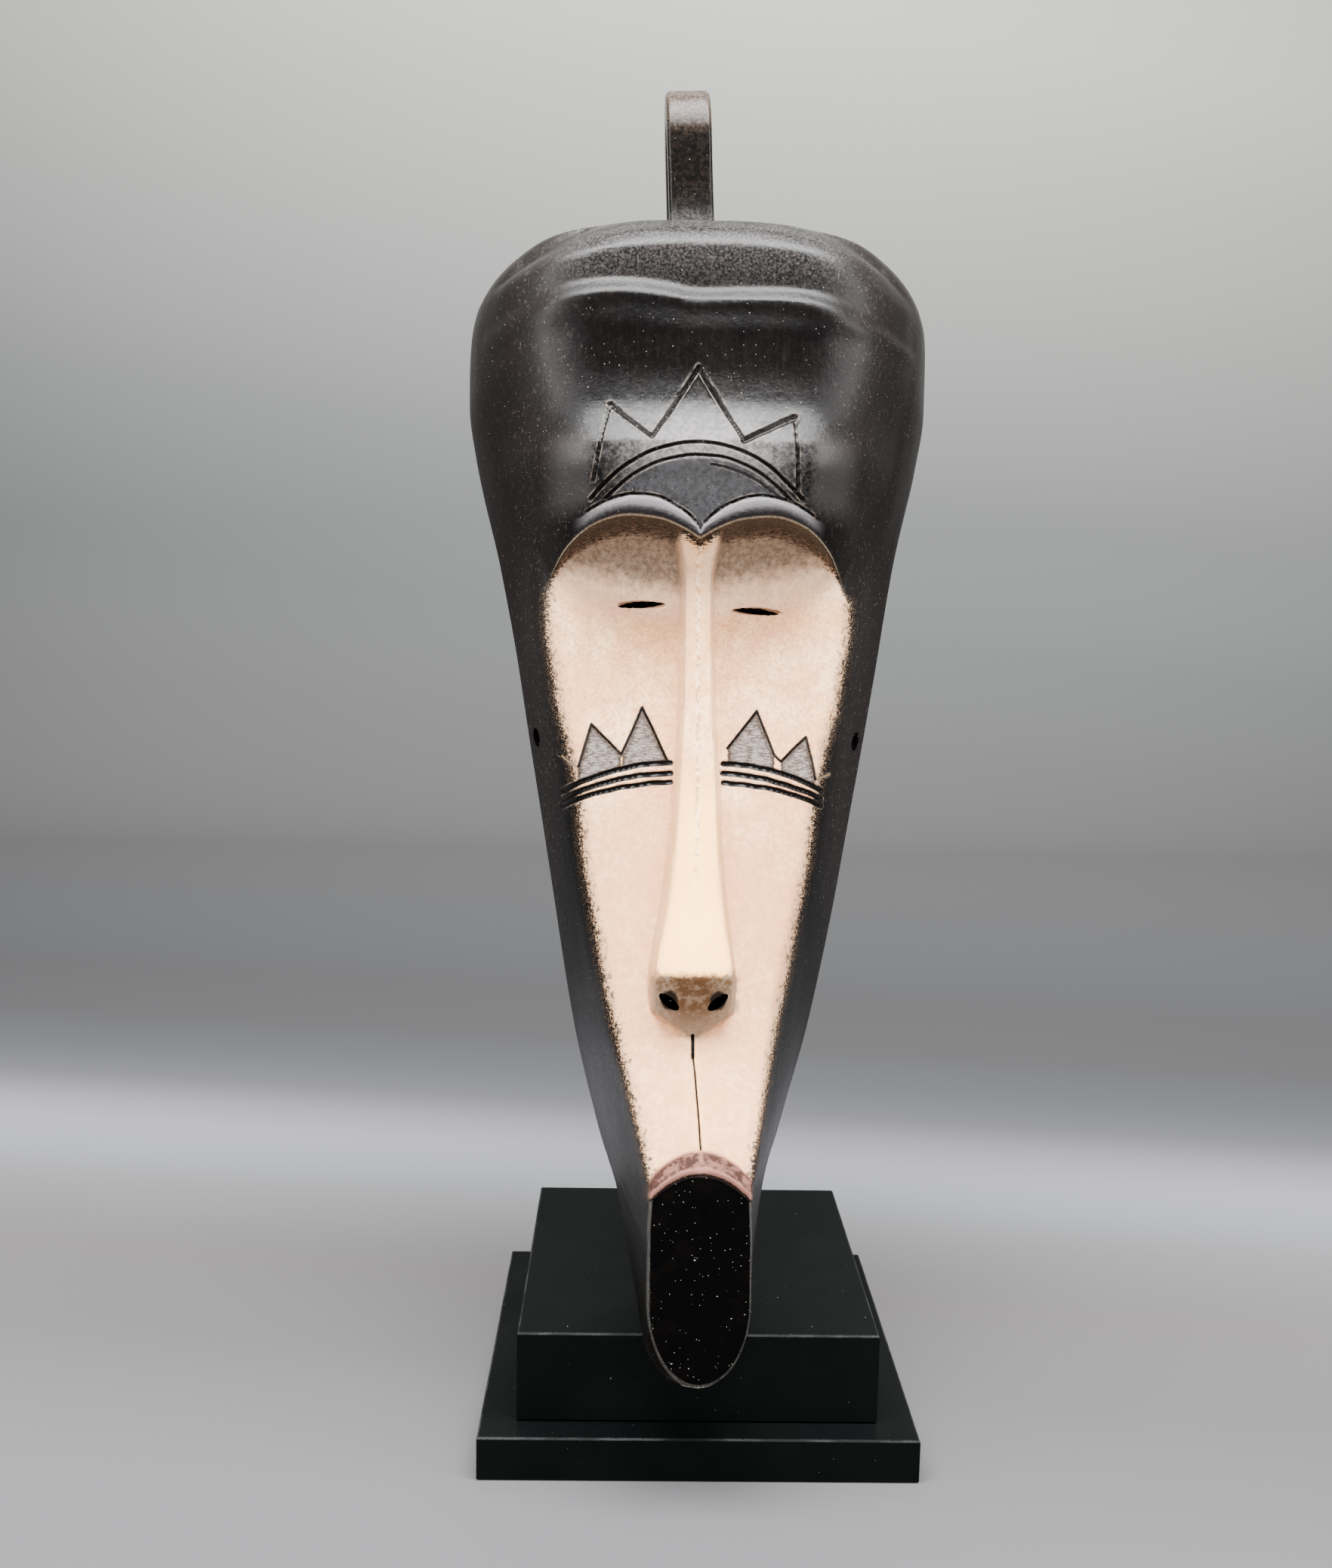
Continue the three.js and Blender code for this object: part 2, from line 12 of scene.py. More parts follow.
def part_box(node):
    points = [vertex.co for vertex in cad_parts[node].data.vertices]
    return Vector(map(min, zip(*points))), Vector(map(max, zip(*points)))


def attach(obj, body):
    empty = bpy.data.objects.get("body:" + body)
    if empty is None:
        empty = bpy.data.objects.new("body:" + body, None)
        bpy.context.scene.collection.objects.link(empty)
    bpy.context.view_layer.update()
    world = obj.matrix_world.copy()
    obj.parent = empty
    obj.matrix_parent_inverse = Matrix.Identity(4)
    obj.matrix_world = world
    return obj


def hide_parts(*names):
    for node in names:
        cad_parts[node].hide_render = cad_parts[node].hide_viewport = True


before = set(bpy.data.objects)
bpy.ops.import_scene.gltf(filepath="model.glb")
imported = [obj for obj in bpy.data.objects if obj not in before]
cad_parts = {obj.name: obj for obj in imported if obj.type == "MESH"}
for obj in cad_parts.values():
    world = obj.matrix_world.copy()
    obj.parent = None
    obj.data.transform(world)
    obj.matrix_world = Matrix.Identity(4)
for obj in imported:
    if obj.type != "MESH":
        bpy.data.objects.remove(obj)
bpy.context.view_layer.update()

MM = 0.001

# The mask's own frame, in mm: x across, h up its length and d forward of the plane of its back rim.
MASK_ORIGIN = (-3.1, -2.3, 40.5)
LEAN_BACK = math.radians(8.6)
LEAN_LEFT = math.radians(0.2)

CROWN_HEIGHT = 503
CROWN_HALF_WIDTH = 111.8
CROWN_WIDEST_AT = 447
CROWN_POWER = 3.75
CROWN_PATCH_FROM = 400
CROWN_ROOF_SLOPE = 24
CROWN_SHOULDER_POWER = 4
CROWN_CORNER = CROWN_HALF_WIDTH * 0.5 ** (1 / CROWN_POWER)
CHIN_DEPTH = 120
CHIN_KEEL_HEIGHT = 68
CHIN_KEEL_BULGE = 5
CHIN_FACET_ROUND = 33
CHIN_EDGE_ROUND = 12
BROW_ROOT = 352
BROW_STEP = 3.2
BROW_FALL = 14
BROW_SCOOP = 11
BROW_SCOOP_REACH = 7
BROW_SCOOP_WIDTH = 72
BROW_ROLL = 1.9
FOREHEAD_FALL = 26
FOREHEAD_POWER = 3.6
LINE_STEP = 2
LINE_WANDER = 0.4
LIPS_CENTRE = 1
LIPS_HALF_WIDTH = 20.5
LIPS_BOTTOM = 85
LIPS_TALL = 9
LIPS_DROP = 10.5
LIPS_SWELL = 2.6
NOSE_FOOT = 2.4
NOSE_ROUND = 0.11
EYE_INNER = 15.5
EYE_OUTER = 37.5
EYE_HALF_HEIGHT = 1.2
EYE_HEIGHTS = {-1: 328.5, 1: 326.2}
EYE_SLANT = math.radians(38)
NOSTRIL_OFFSET = 10.4
NOSTRIL_HEIGHT = 152.4
CORD_HOLE_RADIUS = 3.8
CORD_HOLE_HEIGHT = 269
CORD_HOLE_DEPTH = 9.5
ROD_X = -3.6
ROD_Y = 24
SOCKET_RADIUS = 5.3
SOCKET_TOP = 537.3
WALL = 11
CAVITY_FROM = 84
CAVITY_TO = 483
HANDLE_CENTRE = -4.6
HANDLE_WIDTH = 20.5
HANDLE_ROUND = 2.4
HANDLE_LEAN = math.radians(2.4)
HANDLE_FOOT = 490
FRONT_FROM = 30  # depth from which the face is painted and carved, well before the back rim
MERGE = 2e-3
SHARP_ANGLE = math.radians(42)

# Material slots of the mask.
BARE, CHARRED_AND_HOLE_SHADE = 1, 2

# The room's soft lights: width and height in m, place, target and watts.
LIGHTS = {
    "overhead": ((2.0, 0.75), (0.0, -0.45, 1.75), (0, -0.1, 0.3), 280),
    "front": ((1.4, 0.5), (0.0, -1.9, 0.35), (0, 0, 0.33), 47),
    "rear": ((1.6, 0.5), (0.0, 1.3, 2.3), (0, 0.1, 0.3), 40),
    "left": ((0.4, 1.2), (-1.6, -0.68, 0.95), (0, 0, 0.3), 44),
    "right": ((0.4, 1.2), (1.6, -0.68, 0.95), (0, 0, 0.3), 44),
    "backdrop": ((2.6, 0.5), (0.0, 1.0, 2.3), (0, 2.0, 0.8), 45),
}

# The sheet of paper in m: its width and depth, how far back it ends, its rise and its bend's radius.
PAPER_SIDE = 6
PAPER_BACK = 2
PAPER_RISE = 4
PAPER_BEND = 0.5

# The photo's standpoint, in m, and its turn from straight ahead, from fitting the stand's edges.
CAMERA_PLACE = (-0.0317, -0.69929, 0.37813)
CAMERA_YAW, CAMERA_PITCH, CAMERA_ROLL = (math.radians(angle) for angle in (-1.16, 7.21, 1.08))
CAMERA_LENS = 34.817


def profile(*stations):
    """A smooth curve through (place, value) stations that never overshoots between them."""
    at, value = np.array(stations, float).T
    slope = np.diff(value) / np.diff(at)
    tangent = np.concatenate(([slope[0]], np.zeros(len(at) - 2), [slope[-1]]))
    rising = slope[:-1] * slope[1:] > 0
    pair = 2 * slope[:-1] * slope[1:]
    tangent[1:-1][rising] = pair[rising] / (slope[:-1] + slope[1:])[rising]

    def curve(place):
        place = np.clip(np.asarray(place, float), at[0], at[-1])
        i = np.clip(np.searchsorted(at, place, side="right") - 1, 0, len(at) - 2)
        span = at[i + 1] - at[i]
        f = (place - at[i]) / span
        ease = f * f * (3 - 2 * f)
        bend = span * (tangent[i] * f * (1 - f) ** 2 - tangent[i + 1] * f * f * (1 - f))
        return value[i] * (1 - ease) + value[i + 1] * ease + bend

    return curve


def step(start, end, value):
    f = np.clip((value - start) / (end - start), 0, 1)
    return f * f * (3 - 2 * f)


def mix(a, b, f):
    return a + (b - a) * f


def rounded_min(a, b, band):
    near = np.maximum(band - np.abs(a - b), 0) / band
    return np.minimum(a, b) - near * near * band / 4


def round_end(h, length):
    inside = np.maximum(0, 1 - ((length - h) / length) ** 2)
    return np.where(h >= length, 1, np.sqrt(inside))


# Half widths: of the back rim, of the flat facets of the face, and of the forms on it.
back_width = profile(
    (0, 18), (20, 23.8), (56, 34.1), (70, 40.2), (95, 47.4), (133, 57.1), (250, 78.2), (353, 96),
    (405, 107.8), (430, 111.5), (447, 111.8),
)
edge_width = profile(
    (0, 21), (60, 21), (76, 20.4), (95, 24.5), (135, 35.5), (176, 45.2), (212, 52), (250, 58.5),
    (284, 65), (321, 70.8), (345, 72.5), (392, 78), (445, 90), (480, 88), (503, 80),
)
nose_width = profile(
    (136, 1.5), (140, 8), (147, 16.4), (156, 17.4), (166, 17), (175, 15.8), (195, 12.8), (220, 10.4),
    (247, 9), (282, 7), (337, 6.4), (346, 7.4), (354, 9),
)

# Depths: of the side wall where it meets the face, of the face, the forehead and the nose's ridge.
edge_depth = profile(
    (0, 120), (74, 119), (95, 106), (120, 84), (150, 64), (190, 52), (260, 42), (345, 40), (392, 62),
    (445, 56), (503, 58),
)
wall_curve = profile((330, 1), (440, 0.74), (503, 0.7))
edge_band = profile((0, 2.5), (72, 3), (95, 8), (150, 12), (330, 12), (400, 20), (470, 22), (503, 14))
face_depth = profile(
    (0, 120), (74, 120), (84, 119), (94, 114.5), (114, 98), (137, 83), (160, 73.5), (181, 67),
    (215, 59), (250, 54), (300, 50), (335, 48.5), (365, 51),
)
face_drop = profile((60, 0), (80, 2), (95, 8.5), (120, 10), (150, 13.5), (190, 13), (260, 11), (330, 8.5))
forehead_depth = profile(
    (340, 80), (352, 84.5), (360, 87.5), (375, 90), (387, 92.6), (392, 92.4), (399, 89.6), (406, 86),
    (414, 83.4), (430, 81), (445, 80.5), (460, 82), (469.5, 78.2), (483, 77.8), (491, 74.5), (498, 68),
    (503, 60),
)
forehead_turn = profile((345, 60), (392, 75), (445, 90), (480, 93), (503, 96))
nose_depth = profile(
    (130, 78), (137, 83.5), (161, 99.8), (164, 101), (174, 97), (200, 84), (250, 71), (300, 67.5),
    (337, 70), (346, 76), (354, 85),
)
cavity_depth = profile(
    (84, 0), (88, 24), (98, 50), (115, 64), (137, 61), (160, 55), (181, 50), (215, 45), (250, 42),
    (300, 39), (352, 37), (367, 39), (384, 64), (396, 72), (415, 70), (440, 66), (470, 63), (479, 55),
    (483, 0),
)

# How far the sides and the middle of the face stray to the right of the mask's axis.
bow = profile((100, 0), (150, 0.9), (200, 1.6), (300, 1.7), (350, 0.8), (385, 0.2), (447, 0.4), (475, 1.1))
face_centre = profile((0, 1), (95, 1), (137, -1.4), (160, -1.9), (200, -1), (250, -0.2), (354, -1), (400, 0))

# How far the ledge under the crown sags along its way across.
ledge_sag = profile(
    (-96, 9), (-68, 4), (-55, 0.5), (-35, -0.5), (-18, 1), (0, 4), (20, 3.4), (37, 3), (53, 4), (62, 6),
    (70, 10), (96, 16),
)

# Height of the brow's lower edge over the way out from the middle.
brow_line = profile(
    (0, BROW_ROOT), (8, 356.4), (18, 360), (32, 361.5), (45, 359), (54, 355), (61, 349.5), (66, 343),
    (71, 334),
)


def back_half_width(h):
    rise = np.clip((h - CROWN_WIDEST_AT) / (CROWN_HEIGHT - CROWN_WIDEST_AT), 0, 1)
    over = CROWN_HALF_WIDTH * (1 - rise**CROWN_POWER) ** (1 / CROWN_POWER)
    return np.where(h <= CROWN_WIDEST_AT, back_width(h) * round_end(h, CHIN_EDGE_ROUND), over)


def crown_top(x):
    across = np.clip(np.abs(x) / CROWN_HALF_WIDTH, 0, 1)
    rise = (1 - across**CROWN_POWER) ** (1 / CROWN_POWER)
    return CROWN_WIDEST_AT + (CROWN_HEIGHT - CROWN_WIDEST_AT) * rise


def row_half_width(t):
    rise = (t - CROWN_PATCH_FROM) / (CROWN_HEIGHT - CROWN_PATCH_FROM)
    over = back_half_width(mix(CROWN_PATCH_FROM, crown_top(CROWN_CORNER), rise))
    return np.where(t <= CROWN_PATCH_FROM, back_half_width(t), over)


def facet_half_width(h):
    return edge_width(h) * round_end(h, CHIN_FACET_ROUND)


def keel_depth(h):
    return np.maximum(0, CHIN_DEPTH * (1 - h / CHIN_KEEL_HEIGHT))


def forehead_level(x, h):
    """The level whose depth the forehead has: the ledge sags and the top edge arches down at the sides."""
    ledge = ledge_sag(x + 3) * step(436, 455, h) * (1 - step(470, 486, h))
    arch = 12.5 * (np.abs(x - 2) / 72) ** 3 * step(468, 488, h) * (1 - step(92, 108, np.abs(x)))
    return np.minimum(h + ledge + arch, CROWN_HEIGHT)


def upper_brow(side):
    """Height of the line over the brow, out from the middle."""
    return 356.5 + 14.3 * np.sin((np.minimum(side, 52) / 54) ** 0.8 * math.pi * 0.86)


def across_lips(x, h):
    """0 on the lower edge of the upper lip's swelling and 1 on its upper edge."""
    sag = LIPS_DROP * np.minimum(1.3, np.abs(x - LIPS_CENTRE) / LIPS_HALF_WIDTH) ** 2
    return (h + sag - LIPS_BOTTOM) / LIPS_TALL


def front_depth(x, h):
    """Depth of the face, brow, nose and lips at a place, as far as the side walls."""
    side = np.abs(x - face_centre(h))
    over_brow = h - brow_line(side)
    under = np.maximum(-over_brow - BROW_STEP, 0)
    scoop = np.maximum(0, 1 - (side / BROW_SCOOP_WIDTH) ** 2) * np.exp(-under / BROW_SCOOP_REACH)
    out = side / np.maximum(facet_half_width(h), 1)
    face = face_depth(h) - face_drop(h) * out**2 + BROW_SCOOP * scoop
    turned = (side / forehead_turn(h)) ** FOREHEAD_POWER
    forehead = forehead_depth(forehead_level(x, h)) - FOREHEAD_FALL * turned
    roll = np.clip(over_brow / np.maximum(upper_brow(side) - brow_line(side), 1), 0, 1)
    forehead = forehead + BROW_ROLL * np.sin(np.pi * roll) * (1 - step(44, 54, side))
    depth = mix(face, np.maximum(face, forehead), step(-BROW_STEP, 0, over_brow))
    width = nose_width(h)
    ridge = nose_depth(h) - NOSE_ROUND * width * (side / width) ** 2 * (1 + width / 10)
    on_nose = (1 - step(width - 1, width + NOSE_FOOT, side)) * (1 - step(-2, 3, over_brow))
    depth = mix(depth, np.maximum(depth, ridge), on_nose)
    lips = np.clip(across_lips(x, h), 0, 1)
    notch = 1 - 0.35 * np.exp(-(((x - LIPS_CENTRE) / 2.2) ** 2))
    opening = 1 - step(LIPS_HALF_WIDTH - 1, LIPS_HALF_WIDTH + 2.5, np.abs(x - LIPS_CENTRE))
    return depth + LIPS_SWELL * np.sin(np.pi * lips) * opening * notch


def grid_place(line, t):
    """Where grid lines, -1 to 1 across, cross the row at height t: x, h, ways in from the rim."""
    share, sign = np.abs(line), np.sign(line)
    half = row_half_width(t)
    edge = facet_half_width(t)
    if t <= CROWN_PATCH_FROM:
        side = share * half
        on_wall = np.clip((side - edge) / max(half - edge, 1e-6), 0, 1)
        x = sign * side + mix(face_centre(t), bow(t), on_wall)
        brow = np.maximum(brow_line(side) - BROW_ROOT, -BROW_FALL) * (1 - step(64, 84, side))
        brow = brow * step(285, BROW_ROOT - 5, t) * (1 - step(358, CROWN_PATCH_FROM, t))
        lips = -LIPS_DROP * np.minimum(1, side / LIPS_HALF_WIDTH) ** 2 * (1 - on_wall**2 * (3 - 2 * on_wall))
        lips = lips * step(36, 78, t) * (1 - step(95, 128, t))
        return x, t + brow + lips, half - side, None
    rise = (t - CROWN_PATCH_FROM) / (CROWN_HEIGHT - CROWN_PATCH_FROM)
    top = crown_top(CROWN_CORNER * share) - CROWN_PATCH_FROM
    x = line * half + bow(t) * 0.7 * share
    return x, CROWN_PATCH_FROM + rise * top, (1 - share) * half, (1 - rise) * top


def outer_depth(x, h, t, from_side, from_top):
    back = keel_depth(t)
    reach = max(back_half_width(min(t, CROWN_WIDEST_AT)) - facet_half_width(t), 0.5)
    wall = (edge_depth(t) - back) * (from_side / reach) ** wall_curve(t)
    if from_top is not None:
        wall = np.maximum(wall, 1e-4)
        roof = np.maximum(CROWN_ROOF_SLOPE * from_top, 1e-4)
        power = -CROWN_SHOULDER_POWER
        wall = (wall**power + roof**power) ** (1 / power)
    return rounded_min(wall + back, np.maximum(front_depth(x, h), back), edge_band(t))


def grid_lines(t):
    """Signed shares of the half width, close together where the nose and the face's edge turn."""
    half = row_half_width(t)
    if half < 1e-6:
        half = 1.0
    edge = min(facet_half_width(t), half - 0.02)
    nose = min(8 if t < 132 or t > 356 else float(nose_width(t)), 0.45 * edge)
    cheek_from = nose + min(3, 0.12 * edge)
    cheek_to = edge - min(3.2, 0.1 * edge)
    wall_from = edge + min(3, 0.2 * (half - edge))
    stops = [0, 0.45 * nose, 0.85 * nose, nose + 0.02 * edge, cheek_from, cheek_to, edge, wall_from, half]
    cells = [3, 3, 2, 3, 21, 3, 3, 16]
    places = [np.linspace(a, b, n, endpoint=False) for a, b, n in zip(stops, stops[1:], cells)]
    places = np.append(np.concatenate(places), half) / half
    return np.concatenate((-places[:0:-1], places))


def spaced(*marks):
    """Rows between (height, spacing) marks, the last mark being the end."""
    rows = []
    for (a, gap), (b, _) in zip(marks, marks[1:]):
        rows.extend(np.linspace(a, b, max(1, round((b - a) / gap)), endpoint=False))
    return [float(row) for row in rows] + [float(marks[-1][0])]


ROWS = spaced(
    (0, 0.6), (4, 1.3), (20, 2.4), (68, 1.2), (76, 0.8), (98, 1.8), (132, 1.1), (170, 2.4), (340, 1.2),
    (347, 0.6), (354, 1.8), (400, 2.2), (458, 1), (470, 2), (482, 0.9), (499, 0.45), (503, 0),
)


def wavy_line(points, wander, seed):
    """A line of close points along the given ones, pulled aside a little as a hand would."""
    made = []
    for a, b in zip(points, points[1:]):
        count = max(2, round(math.dist(a, b) / LINE_STEP))
        made.extend(mix(np.array(a, float), np.array(b, float), i / count) for i in range(count))
    made.append(np.array(points[-1], float))
    for i, point in enumerate(made):
        push = [noise.noise(Vector((i * 0.17, seed * 7.3, way))) for way in (0.5, 31.7)]
        point += np.array(push) * wander
    return np.array(made)


def drawn(start, end, height_at, count=24):
    return [(x, float(height_at(x))) for x in np.linspace(start, end, count)]


def arc(centre, half, top, drop):
    return drawn(centre - half, centre + half, lambda x: top - drop * (abs(x - centre) / half) ** 2.1)


def forehead_lines():
    crest = [(-41, 411), (-22.6, 394.8), (-2.3, 428.4), (17.2, 393.8), (39.5, 406)]
    lines = [
        (arc(-2.5, 46.5, 392.5, 23), 0.85, 0.9),
        (arc(-2, 41, 387, 18), 0.75, 0.8),
        (arc(-1.5, 36, 383.2, 14)[13:], 0.5, 0.4),
        (crest[:4], 1.05, 1.1),
        (crest[3:], 1.7, 1.4),
        ([(39.6, 406), (41.2, 374)], 0.9, 0.8),
        ([(-41, 411), (-48, 376.5)], 0.8, 0.7),
    ]
    for sign in (-1, 1):
        brow = drawn(-1 + sign * 2, -1 + sign * 50, lambda x: upper_brow(abs(x + 1)))
        lines.append((brow, 0.6, 0.6))
    return lines


ZIGZAGS = (
    ((-54.4, 253), (-48.5, 273.6), (-34.2, 259.5), (-25.3, 281.5), (-13.3, 256.6)),
    ((13.7, 263), (26.9, 280.2), (35.7, 260), (38.5, 257.3), (50.4, 269.1), (55.1, 249.6)),
)
SCORES = (((-63, 260), (-54.4, 253)), ((55.1, 249.6), (63, 252.5)))

# The three rules on each cheek: height, drop at the outer end and half the width.
CHEEK_RULES = ((256.3, 12.8, 1.3), (251.6, 12, 1.35), (247.3, 10.6, 1.25))


def cheek_rule(x, height, drop):
    return height - drop * (abs(x) / 60) ** 2.4


def cheek_triangles():
    """Outlines of the grey triangles, from their peaks in the zigzags down to the uppermost rule."""
    made = []
    for corners, starts in zip(ZIGZAGS, ((0, 2), (0, 3))):
        for i in starts:
            left, peak, right = corners[i : i + 3]
            feet = [(x, cheek_rule(x, *CHEEK_RULES[0][:2])) for x in (right[0], left[0])]
            made.append([left, peak, right, *feet])
    return made


TRIANGLES = cheek_triangles()


def cheek_lines():
    lines = []
    for sign, outer in ((-1, 62), (1, 58)):
        for height, drop, half in CHEEK_RULES:
            rule = drawn(sign * 12, sign * outer, lambda x: cheek_rule(x, height, drop))
            lines.append((rule, half, 0.9))
    lines += [(corners, 0.62, 0.45) for corners in ZIGZAGS]
    lines += [(ends, 0.5, 0.3) for ends in SCORES]
    lines.append(([(-1.6, 137.2), (-1.8, 128.5)], 0.75, 0.9))
    lines.append(([(-1.6, 128.5), (1, 94.5)], 0.42, 0.5))
    return lines


LINES = [
    (wavy_line(points, LINE_WANDER, seed), half, cut)
    for seed, (points, half, cut) in enumerate(forehead_lines() + cheek_lines())
]


def line_reach(x, h):
    """For places on the face: how far inside the nearest carved line (mm, below 0 outside) and its cut."""
    inside = np.full(x.shape, -30.0)
    cut = np.zeros(x.shape)
    for points, half, deep in LINES:
        low, high = points.min(0) - 6, points.max(0) + 6
        near = np.flatnonzero((x > low[0]) & (x < high[0]) & (h > low[1]) & (h < high[1]))
        if not len(near):
            continue
        place = np.stack((x[near], h[near]), 1)
        best = np.full(len(near), 1e9)
        for a, b in zip(points, points[1:]):
            along = b - a
            f = np.clip((place - a) @ along / max(along @ along, 1e-9), 0, 1)
            best = np.minimum(best, np.linalg.norm(place - a - f[:, None] * along, axis=1))
        inside[near] = np.maximum(inside[near], half - best)
        dip = deep * np.cos(np.clip(best / half, 0, 1) * np.pi / 2) ** 2
        lip = 0.14 * deep * np.exp(-(((best - 1.45 * half) / (0.45 * half)) ** 2))
        before = cut[near]
        raised = np.where(before > 0, before, before - lip)
        cut[near] = np.where(dip > 0.02, np.maximum(before, dip), raised)
    return inside, cut


def placed(at, *turns):
    """A place, then turns about its own axes, each an angle and an axis."""
    place = Matrix.Translation(at)
    for angle, axis in turns:
        place @= Matrix.Rotation(angle, 4, axis)
    return place


TO_WORLD = placed(MASK_ORIGIN, (-LEAN_LEFT, "Y"), (-LEAN_BACK, "X"))


def new_object(name, verts, faces):
    mesh = bpy.data.meshes.new(name)
    mesh.from_pydata(verts, [], faces)
    mesh.update()
    made = bpy.data.objects.new(name, mesh)
    bpy.context.scene.collection.objects.link(made)
    return made


def mend(mesh):
    """Joins points that fall together and turns all the faces outward."""
    shape = bmesh.new()
    shape.from_mesh(mesh)
    bmesh.ops.remove_doubles(shape, verts=shape.verts, dist=MERGE)
    bmesh.ops.recalc_face_normals(shape, faces=shape.faces)
    shape.to_mesh(mesh)
    shape.free()


def select_only(thing):
    bpy.ops.object.select_all(action="DESELECT")
    thing.select_set(True)
    bpy.context.view_layer.objects.active = thing


def closed_from_sheets(name, rows, front, back):
    """One closed mesh from two sheets of points that share their edge."""
    sheets = np.array([[sheet(t) for t in rows] for sheet in (front, back)])
    _, high, wide, _ = sheets.shape
    first = np.arange(high * wide).reshape(high, wide)
    quads = np.stack((first[:-1, :-1], first[:-1, 1:], first[1:, 1:], first[1:, :-1]), -1).reshape(-1, 4)
    faces = np.concatenate((quads, quads[:, ::-1] + high * wide))
    made = new_object(name, sheets.reshape(-1, 3).tolist(), faces.tolist())
    mend(made.data)
    return made


def skin_front(t):
    lines = grid_lines(t)
    x, h, from_side, from_top = grid_place(lines, t)
    depth = outer_depth(x, h, t, from_side, from_top)
    depth[[0, -1]] = keel_depth(t)
    return np.stack((x, -depth, h), 1)


def skin_back(t):
    lines = grid_lines(t)
    x, h, _, _ = grid_place(lines, t)
    keel = keel_depth(t)
    bulge = CHIN_KEEL_BULGE * (1 - lines**2) * math.sin(math.pi * keel / CHIN_DEPTH)
    level = h if t > CROWN_PATCH_FROM else np.full(x.shape, t)
    return np.stack((x, bulge - keel, level), 1)


def cavity_half_width(h):
    ends = round_end(h - CAVITY_FROM, 40) * round_end(CAVITY_TO - h, 34)
    return (back_half_width(h) - WALL) * ends


HOLLOW_LINES = np.sin(np.linspace(-np.pi / 2, np.pi / 2, 45))
BEHIND = 5


def hollow_front(h):
    half = cavity_half_width(h)
    steep = edge_depth(h) / max(back_half_width(h) - facet_half_width(h), 20)
    wall = min(steep, 4.5) * (1 - np.abs(HOLLOW_LINES)) * half
    gouged = [0.7 * noise.noise(Vector((line * half * 0.055, h * 0.03, 4.1))) for line in HOLLOW_LINES]
    floor = cavity_depth(h) * (1 - 0.16 * HOLLOW_LINES**2) + np.array(gouged)
    deep = rounded_min(wall + BEHIND, np.maximum(floor + BEHIND, 0.1), 12)
    deep[[0, -1]] = 0
    return np.stack((HOLLOW_LINES * half, BEHIND - deep, np.full(deep.shape, h)), 1)


def hollow_back(h):
    half = cavity_half_width(h)
    level = np.ones(HOLLOW_LINES.shape)
    return np.stack((HOLLOW_LINES * half, level * BEHIND, level * h), 1)


def boolean(target, tool, operation):
    """Joins or cuts with the tool by a modifier, applied at once, and removes the tool.

    The faces that it leaves keep the number of their material slot.
    """
    select_only(target)
    cut = target.modifiers.new("cut", "BOOLEAN")
    cut.operation = operation
    cut.object = tool
    cut.solver = "MANIFOLD"
    bpy.ops.object.modifier_apply(modifier=cut.name)
    bpy.data.objects.remove(tool)


def carve_lines(skin):
    """Splits the skin's longer edges along the carved lines and presses each line into it."""
    shape = bmesh.new()
    shape.from_mesh(skin.data)
    shape.faces.ensure_lookup_table()
    centres = np.array([f.calc_center_median() for f in shape.faces])
    reach = np.sqrt([f.calc_area() for f in shape.faces]) * 0.75
    inside, _ = line_reach(centres[:, 0], centres[:, 2])
    close = (inside > -reach) & (centres[:, 1] < -FRONT_FROM)
    faces = [f for f in shape.faces if close[f.index] and f.normal.y < -0.2]
    near = {e.index for f in faces for e in f.edges}
    edges = [e for e in shape.edges if e.index in near and e.calc_length() > 0.9]
    bmesh.ops.subdivide_edges(shape, edges=edges, cuts=3, use_grid_fill=True, use_single_edge=True)
    shape.verts.ensure_lookup_table()
    shape.normal_update()
    co = np.array([v.co for v in shape.verts])
    _, cut = line_reach(co[:, 0], co[:, 2])
    cut[co[:, 1] > -FRONT_FROM] = 0
    for i in np.flatnonzero(cut):
        vert = shape.verts[i]
        vert.co -= vert.normal * cut[i]
    bmesh.ops.triangulate(shape, faces=[f for f in shape.faces if len(f.verts) > 4])
    shape.to_mesh(skin.data)
    shape.free()


def roughen(skin):
    """Leaves the slight unevenness of a hand-carved surface."""
    mesh = skin.data
    places = [vert.co.copy() for vert in mesh.vertices]
    normals = [vert.normal.copy() for vert in mesh.vertices]
    for i, (place, normal) in enumerate(zip(places, normals)):
        x, y, h = place
        fade = float(step(-2, -12, y))
        if fade == 0:
            continue
        tool = noise.noise(Vector((x * 0.11, y * 0.11, h * 0.035)))
        fine = noise.noise(Vector((x * 0.35 + 7, y * 0.35, h * 0.12)))
        places[i] = place - normal * (0.2 + 0.16 * tool + 0.05 * fine) * fade
    mesh.vertices.foreach_set("co", np.array(places).ravel())
    mesh.update()


def cutter(name, outline, near, far, place):
    """A prism between two levels along y over an outline of (x, h) points, then put in place."""
    count = len(outline)
    verts = [(x, near, h) for x, h in outline] + [(x, far, h) for x, h in outline]
    faces = [(i, (i + 1) % count, count + (i + 1) % count, count + i) for i in range(count)]
    faces += [tuple(range(count))[::-1], tuple(range(count, 2 * count))]
    made = new_object(name, verts, faces)
    made.data.transform(place)
    mend(made.data)
    return made


